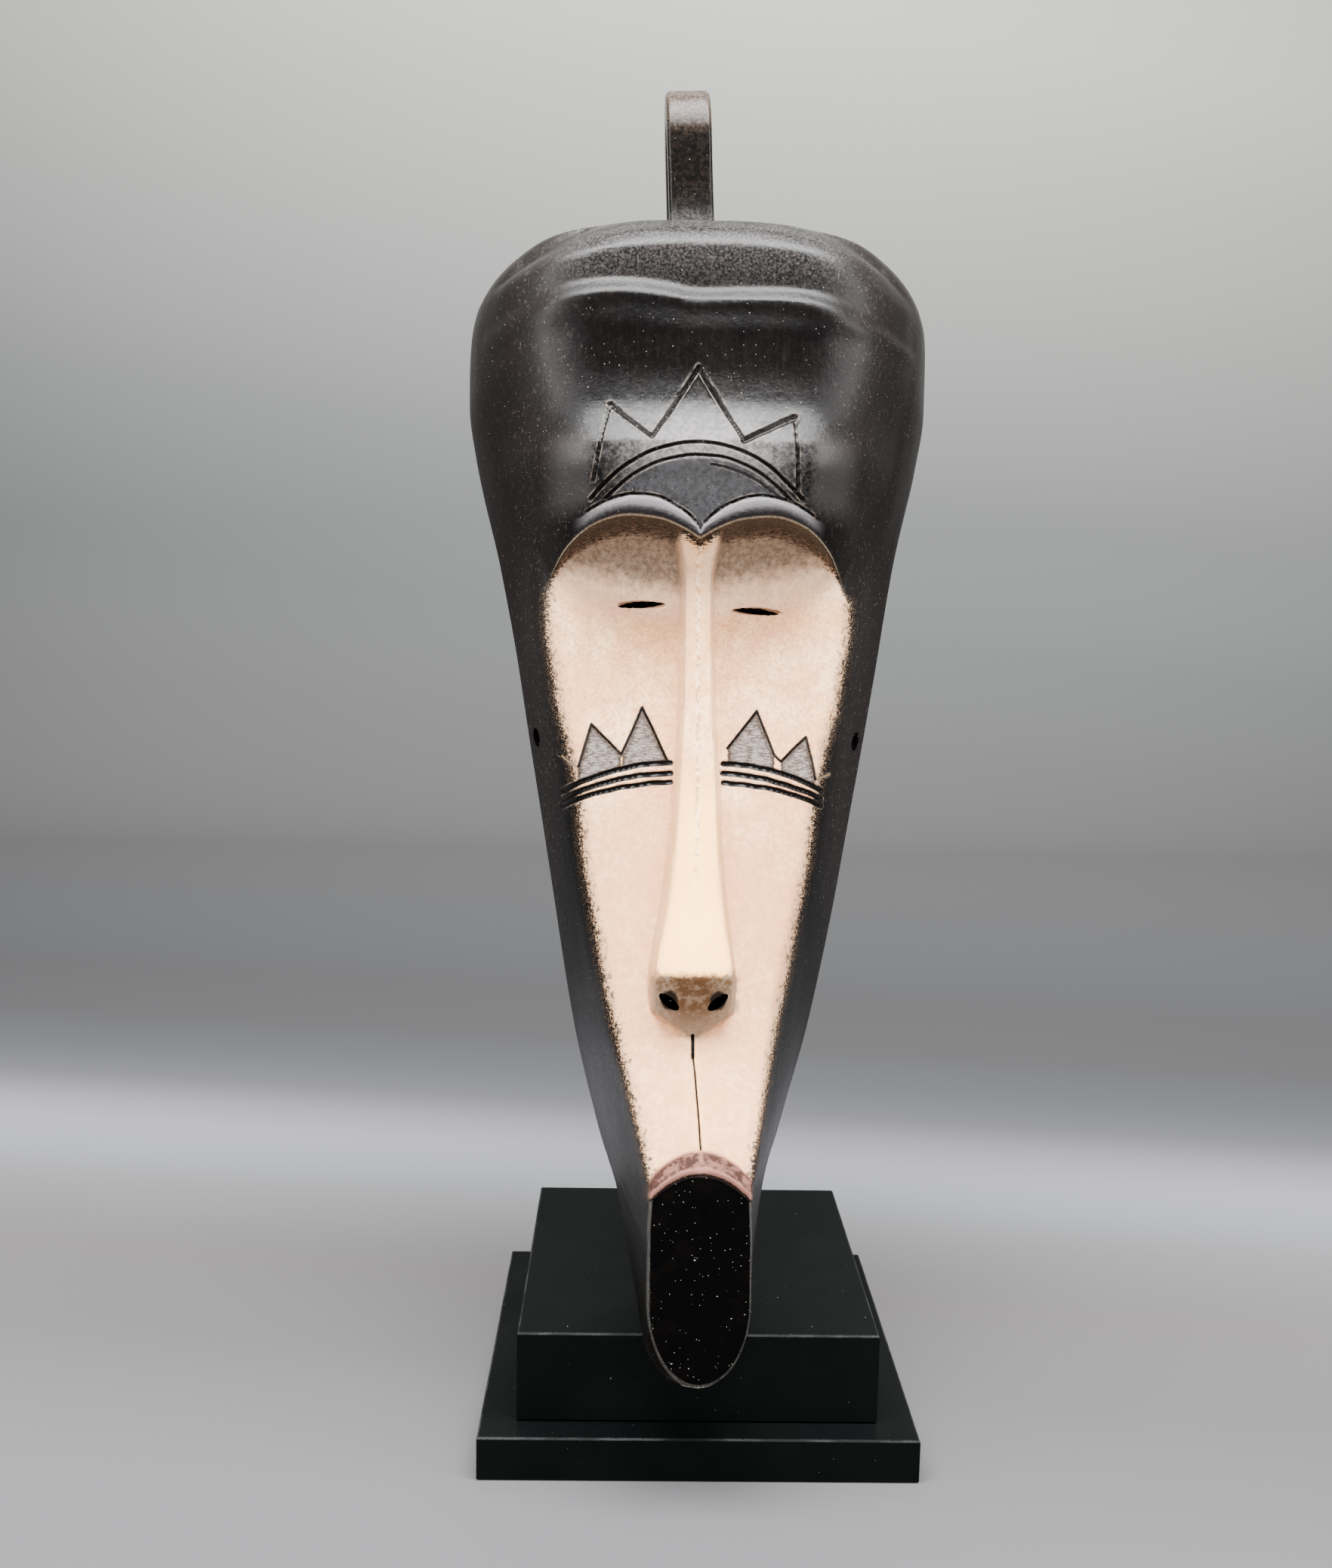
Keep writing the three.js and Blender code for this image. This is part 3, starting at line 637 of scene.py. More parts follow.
def eye_slit(sign):
    half = (EYE_OUTER - EYE_INNER) / 2
    outline = []
    for turn in np.linspace(0, 2 * np.pi, 56, endpoint=False):
        across = math.cos(turn)
        lift = EYE_HALF_HEIGHT * (1 - across**2) * math.copysign(1, math.sin(turn))
        jag = 0.35 * noise.noise(Vector((across * 6, lift, sign * 3.3))) * (1 - across**4)
        outline.append((across * half, lift + jag))
    x, h = sign * (EYE_INNER + EYE_OUTER) / 2, EYE_HEIGHTS[sign]
    depth = float(front_depth(np.float64(x), np.float64(h)))
    place = placed((x, -depth, h), (-EYE_SLANT, "X"))
    return cutter("eye", outline, -16, 34, place)


def ring_outline(wide, tall, count=36):
    turns = np.linspace(0, 2 * np.pi, count, endpoint=False)
    return [(wide * math.cos(turn), tall * math.sin(turn)) for turn in turns]


def nostril(sign):
    centre = face_centre(NOSTRIL_HEIGHT) + sign * NOSTRIL_OFFSET
    at = (centre, 2 - nose_depth(NOSTRIL_HEIGHT), NOSTRIL_HEIGHT)
    place = placed(at, (math.radians(35), "X"), (math.radians(sign * -42), "Y"))
    return cutter("nostril", ring_outline(5.25, 2.8), -12, 12, place)


def cord_hole(sign):
    out = sign * back_half_width(CORD_HOLE_HEIGHT)
    place = placed((out, -CORD_HOLE_DEPTH, CORD_HOLE_HEIGHT), (math.pi / 2, "Z"))
    return cutter("cord_hole", ring_outline(CORD_HOLE_RADIUS, CORD_HOLE_RADIUS + 0.7), -30, 30, place)


def rod_socket():
    place = TO_WORLD.inverted() @ placed((ROD_X, ROD_Y, SOCKET_TOP), (-math.pi / 2, "X"))
    return cutter("socket", ring_outline(SOCKET_RADIUS, SOCKET_RADIUS), 0, 24, place)


def loop_handle():
    """The loop on the crown, drawn from the side as a filled bevelled curve and made a mesh."""
    # Knots in (depth, height), each with its two handles.
    outer = (
        ((57, 490), (57, 490), (52, 512)), ((57, 545), (54, 528), (56, 560)),
        ((35, 570), (50, 570), (18, 570)), ((9, 540), (10, 558), (8, 520)), ((4, 490), (6, 508), (4, 490)),
    )
    gap = (
        ((42, 512), (37, 508), (42, 528)), ((43, 548), (45, 541), (40, 558)),
        ((23, 546), (26, 559), (21, 538)), ((19, 512), (21, 525), (24, 508)),
    )
    curve = bpy.data.curves.new("handle", "CURVE")
    curve.dimensions = "2D"
    curve.fill_mode = "BOTH"
    curve.extrude = HANDLE_WIDTH / 2 - HANDLE_ROUND
    curve.bevel_depth = HANDLE_ROUND
    curve.bevel_resolution = 3
    curve.offset = -HANDLE_ROUND
    curve.resolution_u = 14
    for knots in (outer, gap):
        spline = curve.splines.new("BEZIER")
        spline.bezier_points.add(len(knots) - 1)
        spline.use_cyclic_u = True
        for point, (at, before, after) in zip(spline.bezier_points, knots):
            point.handle_left_type = point.handle_right_type = "FREE"
            point.co = (*at, 0)
            point.handle_left = (*before, 0)
            point.handle_right = (*after, 0)
    handle = bpy.data.objects.new("handle", curve)
    bpy.context.scene.collection.objects.link(handle)
    select_only(handle)
    bpy.ops.object.convert(target="MESH")
    handle = bpy.context.view_layer.objects.active
    turn = Matrix(((0, 0, 1, 0), (-1, 0, 0, 0), (0, 1, 0, 0), (0, 0, 0, 1)))
    foot = Matrix.Translation((0, 0, HANDLE_FOOT))
    lean = Matrix.Translation((HANDLE_CENTRE, 0, 0)) @ foot
    lean @= Matrix.Rotation(-HANDLE_LEAN, 4, "Y") @ foot.inverted()
    handle.data.transform(lean @ turn)
    mend(handle.data)
    return handle


def polygon_reach(x, h, corners):
    """Signed way inside a convex outline of (x, h) corners, below 0 outside it."""
    corners = np.array(corners, float)
    ahead = np.roll(corners, -1, 0)
    turn = np.sign(np.sum(corners[:, 0] * ahead[:, 1] - corners[:, 1] * ahead[:, 0]))
    reach = np.full(x.shape, 1e9)
    for a, b in zip(corners, ahead):
        along = (b - a) / np.linalg.norm(b - a)
        reach = np.minimum(reach, turn * (along[0] * (h - a[1]) - along[1] * (x - a[0])))
    return reach


kaolin_half_width = profile(
    (80, 20), (92, 23.7), (111, 29.3), (131.6, 34.6), (153, 40.5), (176, 45.2), (188, 47.4), (211, 52),
    (235, 54.6), (262, 60), (284, 65.7), (297, 67.6), (321, 71), (333, 70.8), (350, 66),
)


def paint_zones(x, d, h):
    """The measures, in mm, that the paint is laid by, each to be an attribute of the mask's points."""
    side = np.abs(x - face_centre(h))
    under_brow = brow_line(side) - BROW_STEP * 0.6 - h
    lips = across_lips(x, h)
    on_front = d - FRONT_FROM
    flank = np.minimum(kaolin_half_width(h) - np.abs(x - 0.6), on_front)
    kaolin = np.minimum(np.minimum(flank, under_brow), (lips - 0.3) * LIPS_TALL)
    socket_floor = np.where(x < 0, np.interp(x, (-66, -10), (347, 337)), np.interp(x, (8, 64), (339, 350)))
    eyes = np.full(x.shape, -30.0)
    for sign in (-1, 1):
        out = np.abs(x - sign * (EYE_INNER + EYE_OUTER) / 2) * 2 / (EYE_OUTER - EYE_INNER + 3)
        eyes = np.maximum(eyes, (EYE_HALF_HEIGHT + 0.4) * (1 - out**2) - np.abs(h - EYE_HEIGHTS[sign]))
    inside, _ = line_reach(x, h)
    inside = np.where(on_front > 0, inside, -30)
    triangles = np.max([polygon_reach(x, h, corners) for corners in TRIANGLES], 0)
    underside = ((-20.5, 160), (-18, 165), (15.5, 165), (18.5, 160), (17.5, 147), (-1.2, 134.5), (-19.5, 147))
    nose_base = polygon_reach(x, h, underside)
    scored = np.full(x.shape, -30.0)
    for (x0, h0), (x1, h1) in SCORES:
        along = (x1 - x0, h1 - h0)
        f = np.clip(((x - x0) * along[0] + (h - h0) * along[1]) / (along[0] ** 2 + along[1] ** 2), 0.12, 1)
        scored = np.maximum(scored, 0.7 - np.hypot(x - x0 - f * along[0], h - h0 - f * along[1]))
    roll_foot, roll_top = brow_line(side), upper_brow(np.abs(x + 1))
    mouth = np.minimum(LIPS_HALF_WIDTH + 1 - np.abs(x - LIPS_CENTRE), on_front)
    out = np.abs(x - face_centre(NOSTRIL_HEIGHT)) - NOSTRIL_OFFSET
    nostrils = 3.2 - np.hypot(out, (h - NOSTRIL_HEIGHT - 1) * 0.8)
    arch = 386 - 18 * (np.abs(x + 2) / 41) ** 2.1
    crescent = np.minimum(arch - h, h - roll_top - 0.5)
    low_end = np.maximum(CHIN_FACET_ROUND - h, 0) / CHIN_FACET_ROUND
    chin_edge = 10.5 * (1 - ((x - 1) / facet_half_width(np.maximum(h, CHIN_FACET_ROUND))) ** 2 - low_end**2)
    return {
        "kaolin": kaolin,
        "flank": flank,
        "brow_shade": np.minimum(h - socket_floor, 3 * (side - nose_width(h) - 0.5)),
        "eye": eyes,
        "carved": inside,
        "triangle": triangles,
        "nose_base": nose_base,
        "lips": lips,
        "mouth": mouth,
        "nose_side": side - nose_width(h),
        "from_ridge": side,
        "height": h,
        "across": x,
        "nostril": nostrils,
        "crescent": crescent,
        "brow_roll": np.minimum(roll_top - h, h - roll_foot),
        "brow_foot": h - roll_foot,
        "brow_rise": (h - roll_foot) / np.maximum(roll_top - roll_foot, 1.5),
        # Where a silvery sheen is painted over the brow, on an ellipse about its middle.
        "rubbed": 1 - np.hypot((x - 1) / 54, (h - 388) / 30),
        "scored": scored,
        "chin_edge": np.where((lips < 0) & (on_front > 0), np.abs(chin_edge), 30),
    }


ZONES = tuple(paint_zones(*np.zeros((3, 1))))


def finished_in(tool, skin, slot):
    """The tool, whose faces leave the skin's finish of a slot where they cut."""
    for surface in skin.data.materials:
        tool.data.materials.append(surface)
    tool.data.polygons.foreach_set("material_index", [slot] * len(tool.data.polygons))
    return tool


def shown_mask():
    skin = closed_from_sheets("mask_skin", ROWS, skin_front, skin_back)
    for surface in (carved_face(), gouged_wood(), charred_chin_and_hole_shade()):
        skin.data.materials.append(surface)
    carve_lines(skin)
    roughen(skin)
    boolean(skin, loop_handle(), "UNION")
    rows = spaced((84, 0.7), (90, 2), (110, 4), (340, 3), (400, 4), (465, 2), (479, 0.7), (483, 0))
    tools = [(closed_from_sheets("hollow", rows, hollow_front, hollow_back), BARE), (rod_socket(), BARE)]
    for sign in (-1, 1):
        # The near black finish inside the eye slits, nostrils and cord holes is partly painted shade.
        tools += [(eye_slit(sign), CHARRED_AND_HOLE_SHADE), (nostril(sign), CHARRED_AND_HOLE_SHADE), (cord_hole(sign), CHARRED_AND_HOLE_SHADE)]
    for tool, slot in tools:
        boolean(skin, finished_in(tool, skin, slot), "DIFFERENCE")
    mesh = skin.data
    co = np.empty((len(mesh.vertices), 3))
    mesh.vertices.foreach_get("co", co.ravel())
    x, y, h = co.T
    for face in mesh.polygons:
        across, back, level = face.center
        chin = level < LIPS_BOTTOM + 1 and back < 4 - CHIN_DEPTH and across_lips(across, level) < -0.05
        if chin and abs(across - 1) < facet_half_width(level) - 0.3:
            face.material_index = CHARRED_AND_HOLE_SHADE
    for name, measure in paint_zones(x, -y, h).items():
        layer = mesh.attributes.new(name, "FLOAT", "POINT")
        layer.data.foreach_set("value", measure.astype(np.float32))
    return skin


def linear(colour):
    """A #rrggbb colour turned to the linear values that sockets take."""
    values = [int(colour[i : i + 2], 16) / 255 for i in (1, 3, 5)]
    return tuple(v / 12.92 if v <= 0.04045 else ((v + 0.055) / 1.055) ** 2.4 for v in values) + (1.0,)


OPERATIONS = {
    "+": "ADD", "-": "SUBTRACT", "*": "MULTIPLY", "/": "DIVIDE", "min": "MINIMUM", "max": "MAXIMUM",
    "abs": "ABSOLUTE",
}

# The nodes that the materials are made of: type, settings, the sockets that values fill in turn and
# the output that is used, None for all of them.
NODES = {
    **{sign: ("Math", {"operation": name}, (0, 1), 0) for sign, name in OPERATIONS.items()},
    "ramp": ("MapRange", {"interpolation_type": "SMOOTHSTEP"}, (0, 1, 2, 3, 4), 0),
    "mix": ("Mix", {}, (0, 2, 3), 0),
    "blend": ("Mix", {"data_type": "RGBA"}, (0, 6, 7), 2),
    "tones": ("ValToRGB", {}, (0,), 0),
    "noise": ("TexNoise", {}, ("Vector", "Scale", "Detail", "Roughness"), 0),
    "cells": ("TexVoronoi", {}, ("Vector", "Scale", "Smoothness"), None),
    "stretch": ("VectorMath", {"operation": "MULTIPLY"}, (0, 1), 0),
    "mapping": ("Mapping", {"vector_type": "TEXTURE"}, ("Vector", "Location", "Rotation", "Scale"), 0),
    "split": ("SeparateXYZ", {}, (0,), None),
    "place": ("TexCoord", {}, (), "Object"),
    "zone": ("Attribute", {}, (), "Fac"),
    "bump": ("Bump", {}, ("Height", "Strength", "Distance"), 0),
    "shader": ("BsdfPrincipled", {}, ("Base Color", "Roughness", "Specular IOR Level", "Normal"), 0),
    "output": ("OutputMaterial", {}, (0,), None),
}


def add(tree, kind, *values, sockets=None, **settings):
    """Adds one of the NODES with its settings, fills or links its sockets and gives its output."""
    node_type, fixed, order, output = NODES[kind]
    made = tree.nodes.new("ShaderNode" + node_type)
    for name, value in {**fixed, **settings}.items():
        setattr(made, name, value)
    for socket, value in {**dict(zip(order, values)), **(sockets or {})}.items():
        if isinstance(value, bpy.types.NodeSocket):
            tree.links.new(value, made.inputs[socket])
        else:
            made.inputs[socket].default_value = linear(value) if isinstance(value, str) else value
    return made.outputs if output is None else made.outputs[output]


def material(name):
    """A new material and the function that adds its nodes."""
    made = bpy.data.materials.new(name)
    made.use_nodes = True
    made.node_tree.nodes.clear()
    return made, partial(add, made.node_tree)


def finish(made, put, *values, **others):
    """Ends a material: colour, roughness, specular level and normal, then other sockets by name."""
    put("output", put("shader", *values, sockets=others))
    return made


def mask_place(put):
    """Place on the mask in mm along its own length, breadth and depth."""
    turn = (-LEAN_BACK, -LEAN_LEFT, 0)
    return put("mapping", put("place"), Vector(MASK_ORIGIN) * MM, turn, (MM, MM, MM))


def layered(put, colour, *coats):
    """The colour with coats laid over it in turn, each a share and its own colour."""
    for share, coat in coats:
        colour = put("blend", share, colour, coat)
    return colour


def specks(put, place, scale, size, rarity):
    """Round specks, one in each cell of a pattern that is drawn above the rarity."""
    cells = put("cells", place, scale)
    chosen = put("ramp", put("split", cells["Color"])[0], rarity, rarity + 0.02)
    return put("*", put("ramp", cells["Distance"], size, size * 0.6), chosen)


def carved_face():
    """Hardwood blackened with smoke and palm oil, then kaolin and earth pigments rubbed on the face.

    The oiled crust is near black and glossy, worn to a speckle of paler wood, with painted sheen on the
    sides, at the temples and over the brow and a painted highlight on the brow's roll; the clay is pale,
    matt and uneven, ragged at its edges, browned under the brow and at the nose partly as painted shade,
    with painted shade low on the face, along the nose's foot and under the lips, and painted highlights
    on the nose's ridge and the rims of the cut lines.
    """
    made, put = material("blackened_wood_with_kaolin")
    place = mask_place(put)
    zone = {name: put("zone", attribute_name=name) for name in ZONES}

    def ragged(name, amount, pattern):
        return put("+", zone[name], put("*", put("-", pattern, 0.5), amount))

    def frayed(name, amount, pattern, *ends):
        """The share of a zone, by ends in mm, whose edge a pattern pulls about by an amount in mm."""
        return put("ramp", ragged(name, amount, pattern), *ends)

    # Patterns by size: clouds of 25 mm, blots of 3 mm, grit of 2.4 mm, which is coarser than the real
    # wear so that it shows, pores of 1.2 mm, and grain and tool hatching drawn out along the wood.
    cloud = put("noise", place, 0.04, 4, 0.55)
    pink = put("noise", place, 0.09, 5, 0.6)
    blot = put("noise", place, 0.3, 5, 0.6)
    grit = put("noise", place, 0.42, 5, 0.72)
    pores = put("noise", place, 0.8, 6, 0.75)
    fine = put("noise", place, 1.8, 4, 0.65)
    grain = put("noise", put("stretch", place, (1, 1, 0.12)), 0.7, 6, 0.7)
    hatch = put("noise", put("stretch", place, (0.35, 1, 1.5)), 0.9, 4, 0.75)
    aside = put("abs", zone["across"])

    # The crust: greyer on the crown and the sides, slate between the arcs, with painted sheen on the sides,
    # at the temples and silvery over the brow, and a painted highlight on the brow's roll.
    crown = put("*", frayed("height", 16, grit, 456, 484), put("ramp", pores, 0.4, 0.62, 0.3, 1))
    # Painted sheen: a silvery grey over the brow, in the rubbed zone.
    silver_sheen = put("*", frayed("rubbed", 0.6, grit, 0.0, 0.8), put("ramp", grit, 0.36, 0.6, 0.5, 1))
    # Painted sheen: grey at the temples, beside the lower ends of the zigzag.
    temple_sheen = put("*", frayed("from_ridge", 12, grit, 44, 52), put("ramp", aside, 74, 60))
    temple_sheen = put("*", temple_sheen, frayed("height", 12, grit, 360, 372))
    temple_sheen = put("*", temple_sheen, frayed("height", 12, grit, 404, 390, 0, 0.5))
    on_roll = frayed("brow_roll", 2, blot, 0.2, 1.2, 0, 0.9)
    on_roll = put("*", on_roll, put("ramp", zone["from_ridge"], 57, 47))
    # Painted highlight: the crest share lightens the upper part of the brow's roll.
    crest = put("ramp", zone["brow_rise"], 0.98, 0.8)
    crest = put("*", frayed("brow_rise", 0.5, hatch, 0.2, 0.6), crest)
    lip = put("*", put("ramp", zone["brow_foot"], 0, 0.35), put("ramp", zone["brow_foot"], 1.2, 0.6))
    lip = put("*", lip, put("ramp", zone["from_ridge"], 70, 60))
    # The loop's upper part: a paler speckle of wear, and painted light where its front faces up.
    loop_top_wear_and_painted_light = put("*", frayed("height", 26, blot, 540, 556), put("ramp", pores, 0.36, 0.6))
    rubbed = put("*", put("ramp", pores, 0.62, 0.72), put("ramp", blot, 0.48, 0.66))
    crust = layered(
        put,
        put("blend", put("ramp", cloud, 0.35, 0.65), "#040303", "#070605"),
        (put("ramp", grain, 0.5, 0.78, 0, 0.5), "#100c0b"),
        (crown, put("blend", put("ramp", pores, 0.4, 0.62), "#191817", "#343130")),
        # On the sides: a greyer tone, partly the wood's own and partly painted sheen, lightest in a band near
        # the front, with paler flecks and a darker tone further out.
        (put("*", put("ramp", aside, 54, 72), put("ramp", pores, 0.35, 0.65, 0.45, 0.9)), "#191615"),
        (put("*", put("ramp", aside, 50, 66), put("ramp", grit, 0.56, 0.66, 0, 0.5)), "#3a332e"),
        (put("*", put("ramp", aside, 78, 92), put("ramp", pores, 0.35, 0.6, 0.3, 0.8)), "#110e0d"),
        (silver_sheen, "#5c5958"),
        (temple_sheen, "#3b3837"),
        (
            put("ramp", zone["crescent"], 0, 1.2, 0, 0.85),
            put("blend", put("ramp", grit, 0.42, 0.58), "#0a0a0b", "#1f1e22"),
        ),
        (on_roll, put("blend", crest, "#1d1b1d", "#575456")),
        (put("*", lip, put("ramp", pores, 0.35, 0.6, 0.3, 0.9)), "#857866"),
        (
            put("ramp", zone["height"], 504, 512, 0, 0.97),
            put("blend", put("ramp", grit, 0.45, 0.6), "#060504", "#120d0a"),
        ),
        (loop_top_wear_and_painted_light, "#40362e"),
        (put("*", rubbed, 0.4), "#4a4039"),
    )

    # The clay: mottled, earthier under the brow and on the nose's base, both partly as painted shade, sooty
    # along its edges, with painted shade low on the face and along the nose's foot, a painted highlight on
    # its ridge.
    # Painted shade: the clay darker low on the face.
    lower = frayed("height", 40, cloud, 270, 200, 0, 0.85)
    on_nose = put("ramp", zone["height"], 262, 236, 0.2, 0.85)
    on_nose = put("*", put("ramp", zone["nose_side"], 2, -4), on_nose)
    # The nose's underside: brown, darker at its top centre, partly pigment and partly painted shade.
    root = put("*", frayed("from_ridge", 8, grit, 13, 5), frayed("height", 14, grit, 138, 153))
    base = layered(
        put,
        put("blend", frayed("height", 8, blot, 154, 162), "#695c50", "#4a3626"),
        (put("ramp", grit, 0.42, 0.6, 0, 0.6), "#857667"),
        (put("*", root, put("ramp", blot, 0.36, 0.54, 0.3, 0.95)), "#2e1b11"),
    )
    # Painted shade: a thin tan line along the nose's foot.
    nose_foot_shade = put("ramp", put("abs", zone["nose_side"]), 2.6, 0.2)
    # Painted highlight: a broken pale line along the nose's ridge, with darker flecks.
    ridge = put("*", put("ramp", zone["from_ridge"], 1.5, 0.5), put("ramp", hatch, 0.42, 0.56, 0.1, 0.8))
    ridge = put("*", ridge, put("ramp", zone["height"], 170, 235))
    tattoo = ragged("triangle", 2.6, hatch)
    hatched = put("blend", put("ramp", hatch, 0.38, 0.62), "#2f2b2a", "#7b7470")
    clay = layered(
        put,
        put("blend", put("ramp", cloud, 0.4, 0.6), "#ecb07e", "#f9cd9d"),
        (put("ramp", pink, 0.45, 0.6, 0, 0.5), "#dc9c80"),
        (put("ramp", blot, 0.45, 0.62, 0, 0.4), "#cf9268"),
        (put("ramp", pores, 0.47, 0.6, 0, 0.6), "#b58560"),
        (put("ramp", grit, 0.52, 0.64, 0, 0.35), "#a97452"),
        (put("*", lower, put("ramp", blot, 0.35, 0.6, 0.7, 1)), "#c08964"),
        (on_nose, "#fdc174"),
        # Under the brow: duller clay beneath the socket and earth brown in it, partly pigment and partly
        # painted shade.
        (put("ramp", zone["brow_shade"], -24, -6, 0, 0.4), "#d3bba5"),
        (
            frayed("brow_shade", 14, blot, -9, 6),
            put("blend", put("ramp", grit, 0.35, 0.65), "#614f41", "#84705d"),
        ),
        (frayed("nose_base", 6, blot, -2, 1.5, 0, 0.95), base),
        (put("*", nose_foot_shade, put("ramp", hatch, 0.35, 0.62, 0.05, 0.4)), "#b58f68"),
        (ridge, put("blend", put("ramp", blot, 0.45, 0.55), "#f8dcb8", "#94704e")),
        (frayed("flank", 6, blot, 6, 1, 0, 0.8), "#a8896b"),
        (put("*", frayed("flank", 10, blot, 6.5, 0.5), put("ramp", grit, 0.5, 0.58)), "#241d18"),
        (frayed("kaolin", 16, hatch, 1.8, 0.0, 0, 0.85), "#3a322c"),
        # Around the eye slits and nostrils: dark paint, partly pigment and partly painted shade.
        (frayed("eye", 1.0, fine, -0.6, 0.2, 0, 0.9), "#4a2717"),
        (frayed("nostril", 1.0, fine, -1.2, 0.2, 0, 0.97), "#0d0906"),
        (
            put("ramp", tattoo, -0.3, 0.5, 0, 0.97),
            put("blend", put("ramp", tattoo, 0.4, 3), "#141110", hatched),
        ),
    )

    # The lips: a flesh-coloured rim under dark brown lobes that part at a paler notch,
    # and a painted shadow just under them.
    up_lips = ragged("lips", 0.16, blot)
    lip = put("*", put("ramp", zone["mouth"], -0.5, 1.5), put("ramp", up_lips, 1.15, 0.95))
    from_notch = put("abs", put("-", zone["across"], LIPS_CENTRE))
    notch = put("*", put("ramp", from_notch, 1.5, 0.4), put("ramp", up_lips, 0.4, 0.7, 0, 0.8))
    dark_lip = put("blend", put("ramp", blot, 0.4, 0.56), "#5e4036", "#2e1b15")
    flesh = layered(
        put,
        "#875d53",
        (put("ramp", up_lips, 0.36, 0.5), dark_lip),
        (put("max", notch, put("ramp", up_lips, 0.9, 1.05, 0, 0.7)), "#6f4a3e"),
    )
    # Painted shadow: a near black red band just under the lips.
    under_lip_shadow = put("*", put("ramp", up_lips, 0.12, -0.02), put("ramp", up_lips, -3, -1.2))

    # The cut lines, black but for the scored ones, with pale rims, partly worn and partly painted highlight;
    # then dust where no clay is laid.
    laid = frayed("kaolin", 22, put("+", put("*", hatch, 0.55), put("*", pores, 0.45)), -0.2, 0.9)
    flecks = put("*", frayed("kaolin", 3, fine, -4.5, -0.5), put("ramp", fine, 0.56, 0.66))
    carved = ragged("carved", 0.7, fine)
    # The pale rims beside the cut lines: partly wear, partly painted highlight.
    rim = put("*", put("ramp", carved, -0.9, -0.4), put("ramp", carved, -0.05, -0.3))
    in_line = put("ramp", carved, -0.3, 0.2)
    dust = put("max", specks(put, place, 0.3, 0.08, 0.76), specks(put, place, 0.75, 0.13, 0.82))
    scratch = specks(put, put("stretch", place, (1.0, 1, 0.12)), 0.5, 0.06, 0.7)
    dust = put("max", put("*", dust, 0.55), put("*", scratch, 0.3))
    chin_rim = put("*", put("ramp", zone["chin_edge"], 0.9, 0.3), put("ramp", fine, 0.4, 0.6, 0.3, 0.9))
    colour = layered(
        put,
        crust,
        (put("*", flecks, 0.8), "#8d7258"),
        (laid, clay),
        (put("*", lip, put("ramp", up_lips, 0.08, 0.2)), flesh),
        (put("*", under_lip_shadow, put("ramp", zone["mouth"], 2, 6)), "#140605"),
        (put("*", rim, put("ramp", blot, 0.42, 0.62, 0, 0.5)), "#6d6157"),
        (in_line, put("blend", put("ramp", zone["scored"], 0.0, 0.3), "#070504", "#6b5844")),
        (put("*", dust, put("-", 1.0, laid)), "#aaa298"),
        (chin_rim, "#45423f"),
    )

    # The oiled crust is glossy, less so where it is rubbed, on the sides and at the chin; clay is matt.
    gloss = put("ramp", grain, 0.35, 0.7, 0.2, 0.24)
    for duller in (
        put("ramp", grit, 0.45, 0.7, 0, 0.06),
        put("*", silver_sheen, 0.2),
        put("ramp", aside, 46, 62, 0, 0.14),
        put("ramp", zone["height"], 150, 70, 0, 0.15),
    ):
        gloss = put("+", gloss, duller)
    clay_share = put("*", laid, put("-", 1.0, in_line), use_clamp=True)
    relief = put("+", put("*", grain, 0.06), put("*", blot, 0.16))
    relief = put("+", relief, put("*", pores, 0.09))
    rough = put("mix", clay_share, gloss, 0.8)
    return finish(made, put, colour, rough, 0.11, put("bump", relief, 1.0, MM), IOR=1.5)


def charred_chin_and_hole_shade():
    """The chin's flat end, charred and rubbed dull: soot black with ash flecks and a scorched edge."""
    # The same near black lines the eye slits, nostrils and cord holes, where it is partly painted shade.
    made, put = material("charred_wood_and_hole_shade")
    place = mask_place(put)
    blot = put("noise", place, 0.12, 5, 0.65)
    pores = put("noise", place, 0.9, 5, 0.7)
    ash = put("max", specks(put, place, 0.35, 0.1, 0.75), specks(put, place, 0.9, 0.16, 0.85))
    ash = put("max", ash, specks(put, put("stretch", place, (0.5, 1, 1.3)), 0.2, 0.06, 0.7))
    rim = put("ramp", put("zone", attribute_name="chin_edge"), 0.9, 0.3)
    colour = layered(
        put,
        put("blend", put("ramp", blot, 0.5, 0.75), "#010101", "#040202"),
        (put("*", ash, put("ramp", pores, 0.35, 0.6, 0.15, 1.0)), "#8f8b86"),
        (put("*", rim, put("ramp", pores, 0.4, 0.6, 0.3, 0.9)), "#45423f"),
    )
    return finish(made, put, colour, 0.9, 0.015, put("bump", pores, 1.0, 0.15 * MM))


def gouged_wood():
    """The bare inside, cut with an adze and darkened by handling: dull brown with open grain."""
    made, put = material("adzed_bare_wood")
    place = mask_place(put)
    grain = put("noise", put("stretch", place, (1, 1, 0.06)), 0.8, 8, 0.7)
    cloud = put("noise", place, 0.03, 4, 0.55)
    # The cuts are some 11 mm wide and 28 mm long.
    cuts = put("cells", put("stretch", place, (0.09, 0.09, 0.035)), 1.0, 0.25, feature="SMOOTH_F1")
    colour = layered(
        put,
        put("blend", put("ramp", cloud, 0.3, 0.7), "#553c2a", "#775540"),
        (put("ramp", grain, 0.45, 0.7, 0, 0.7), "#36251a"),
    )
    relief = put("+", put("*", cuts["Distance"], 1.1), put("*", grain, 0.25))
    rough = put("ramp", grain, 0.3, 0.7, 0.62, 0.82)
    return finish(made, put, colour, rough, 0.5, put("bump", relief, 1.0, MM), IOR=1.5)


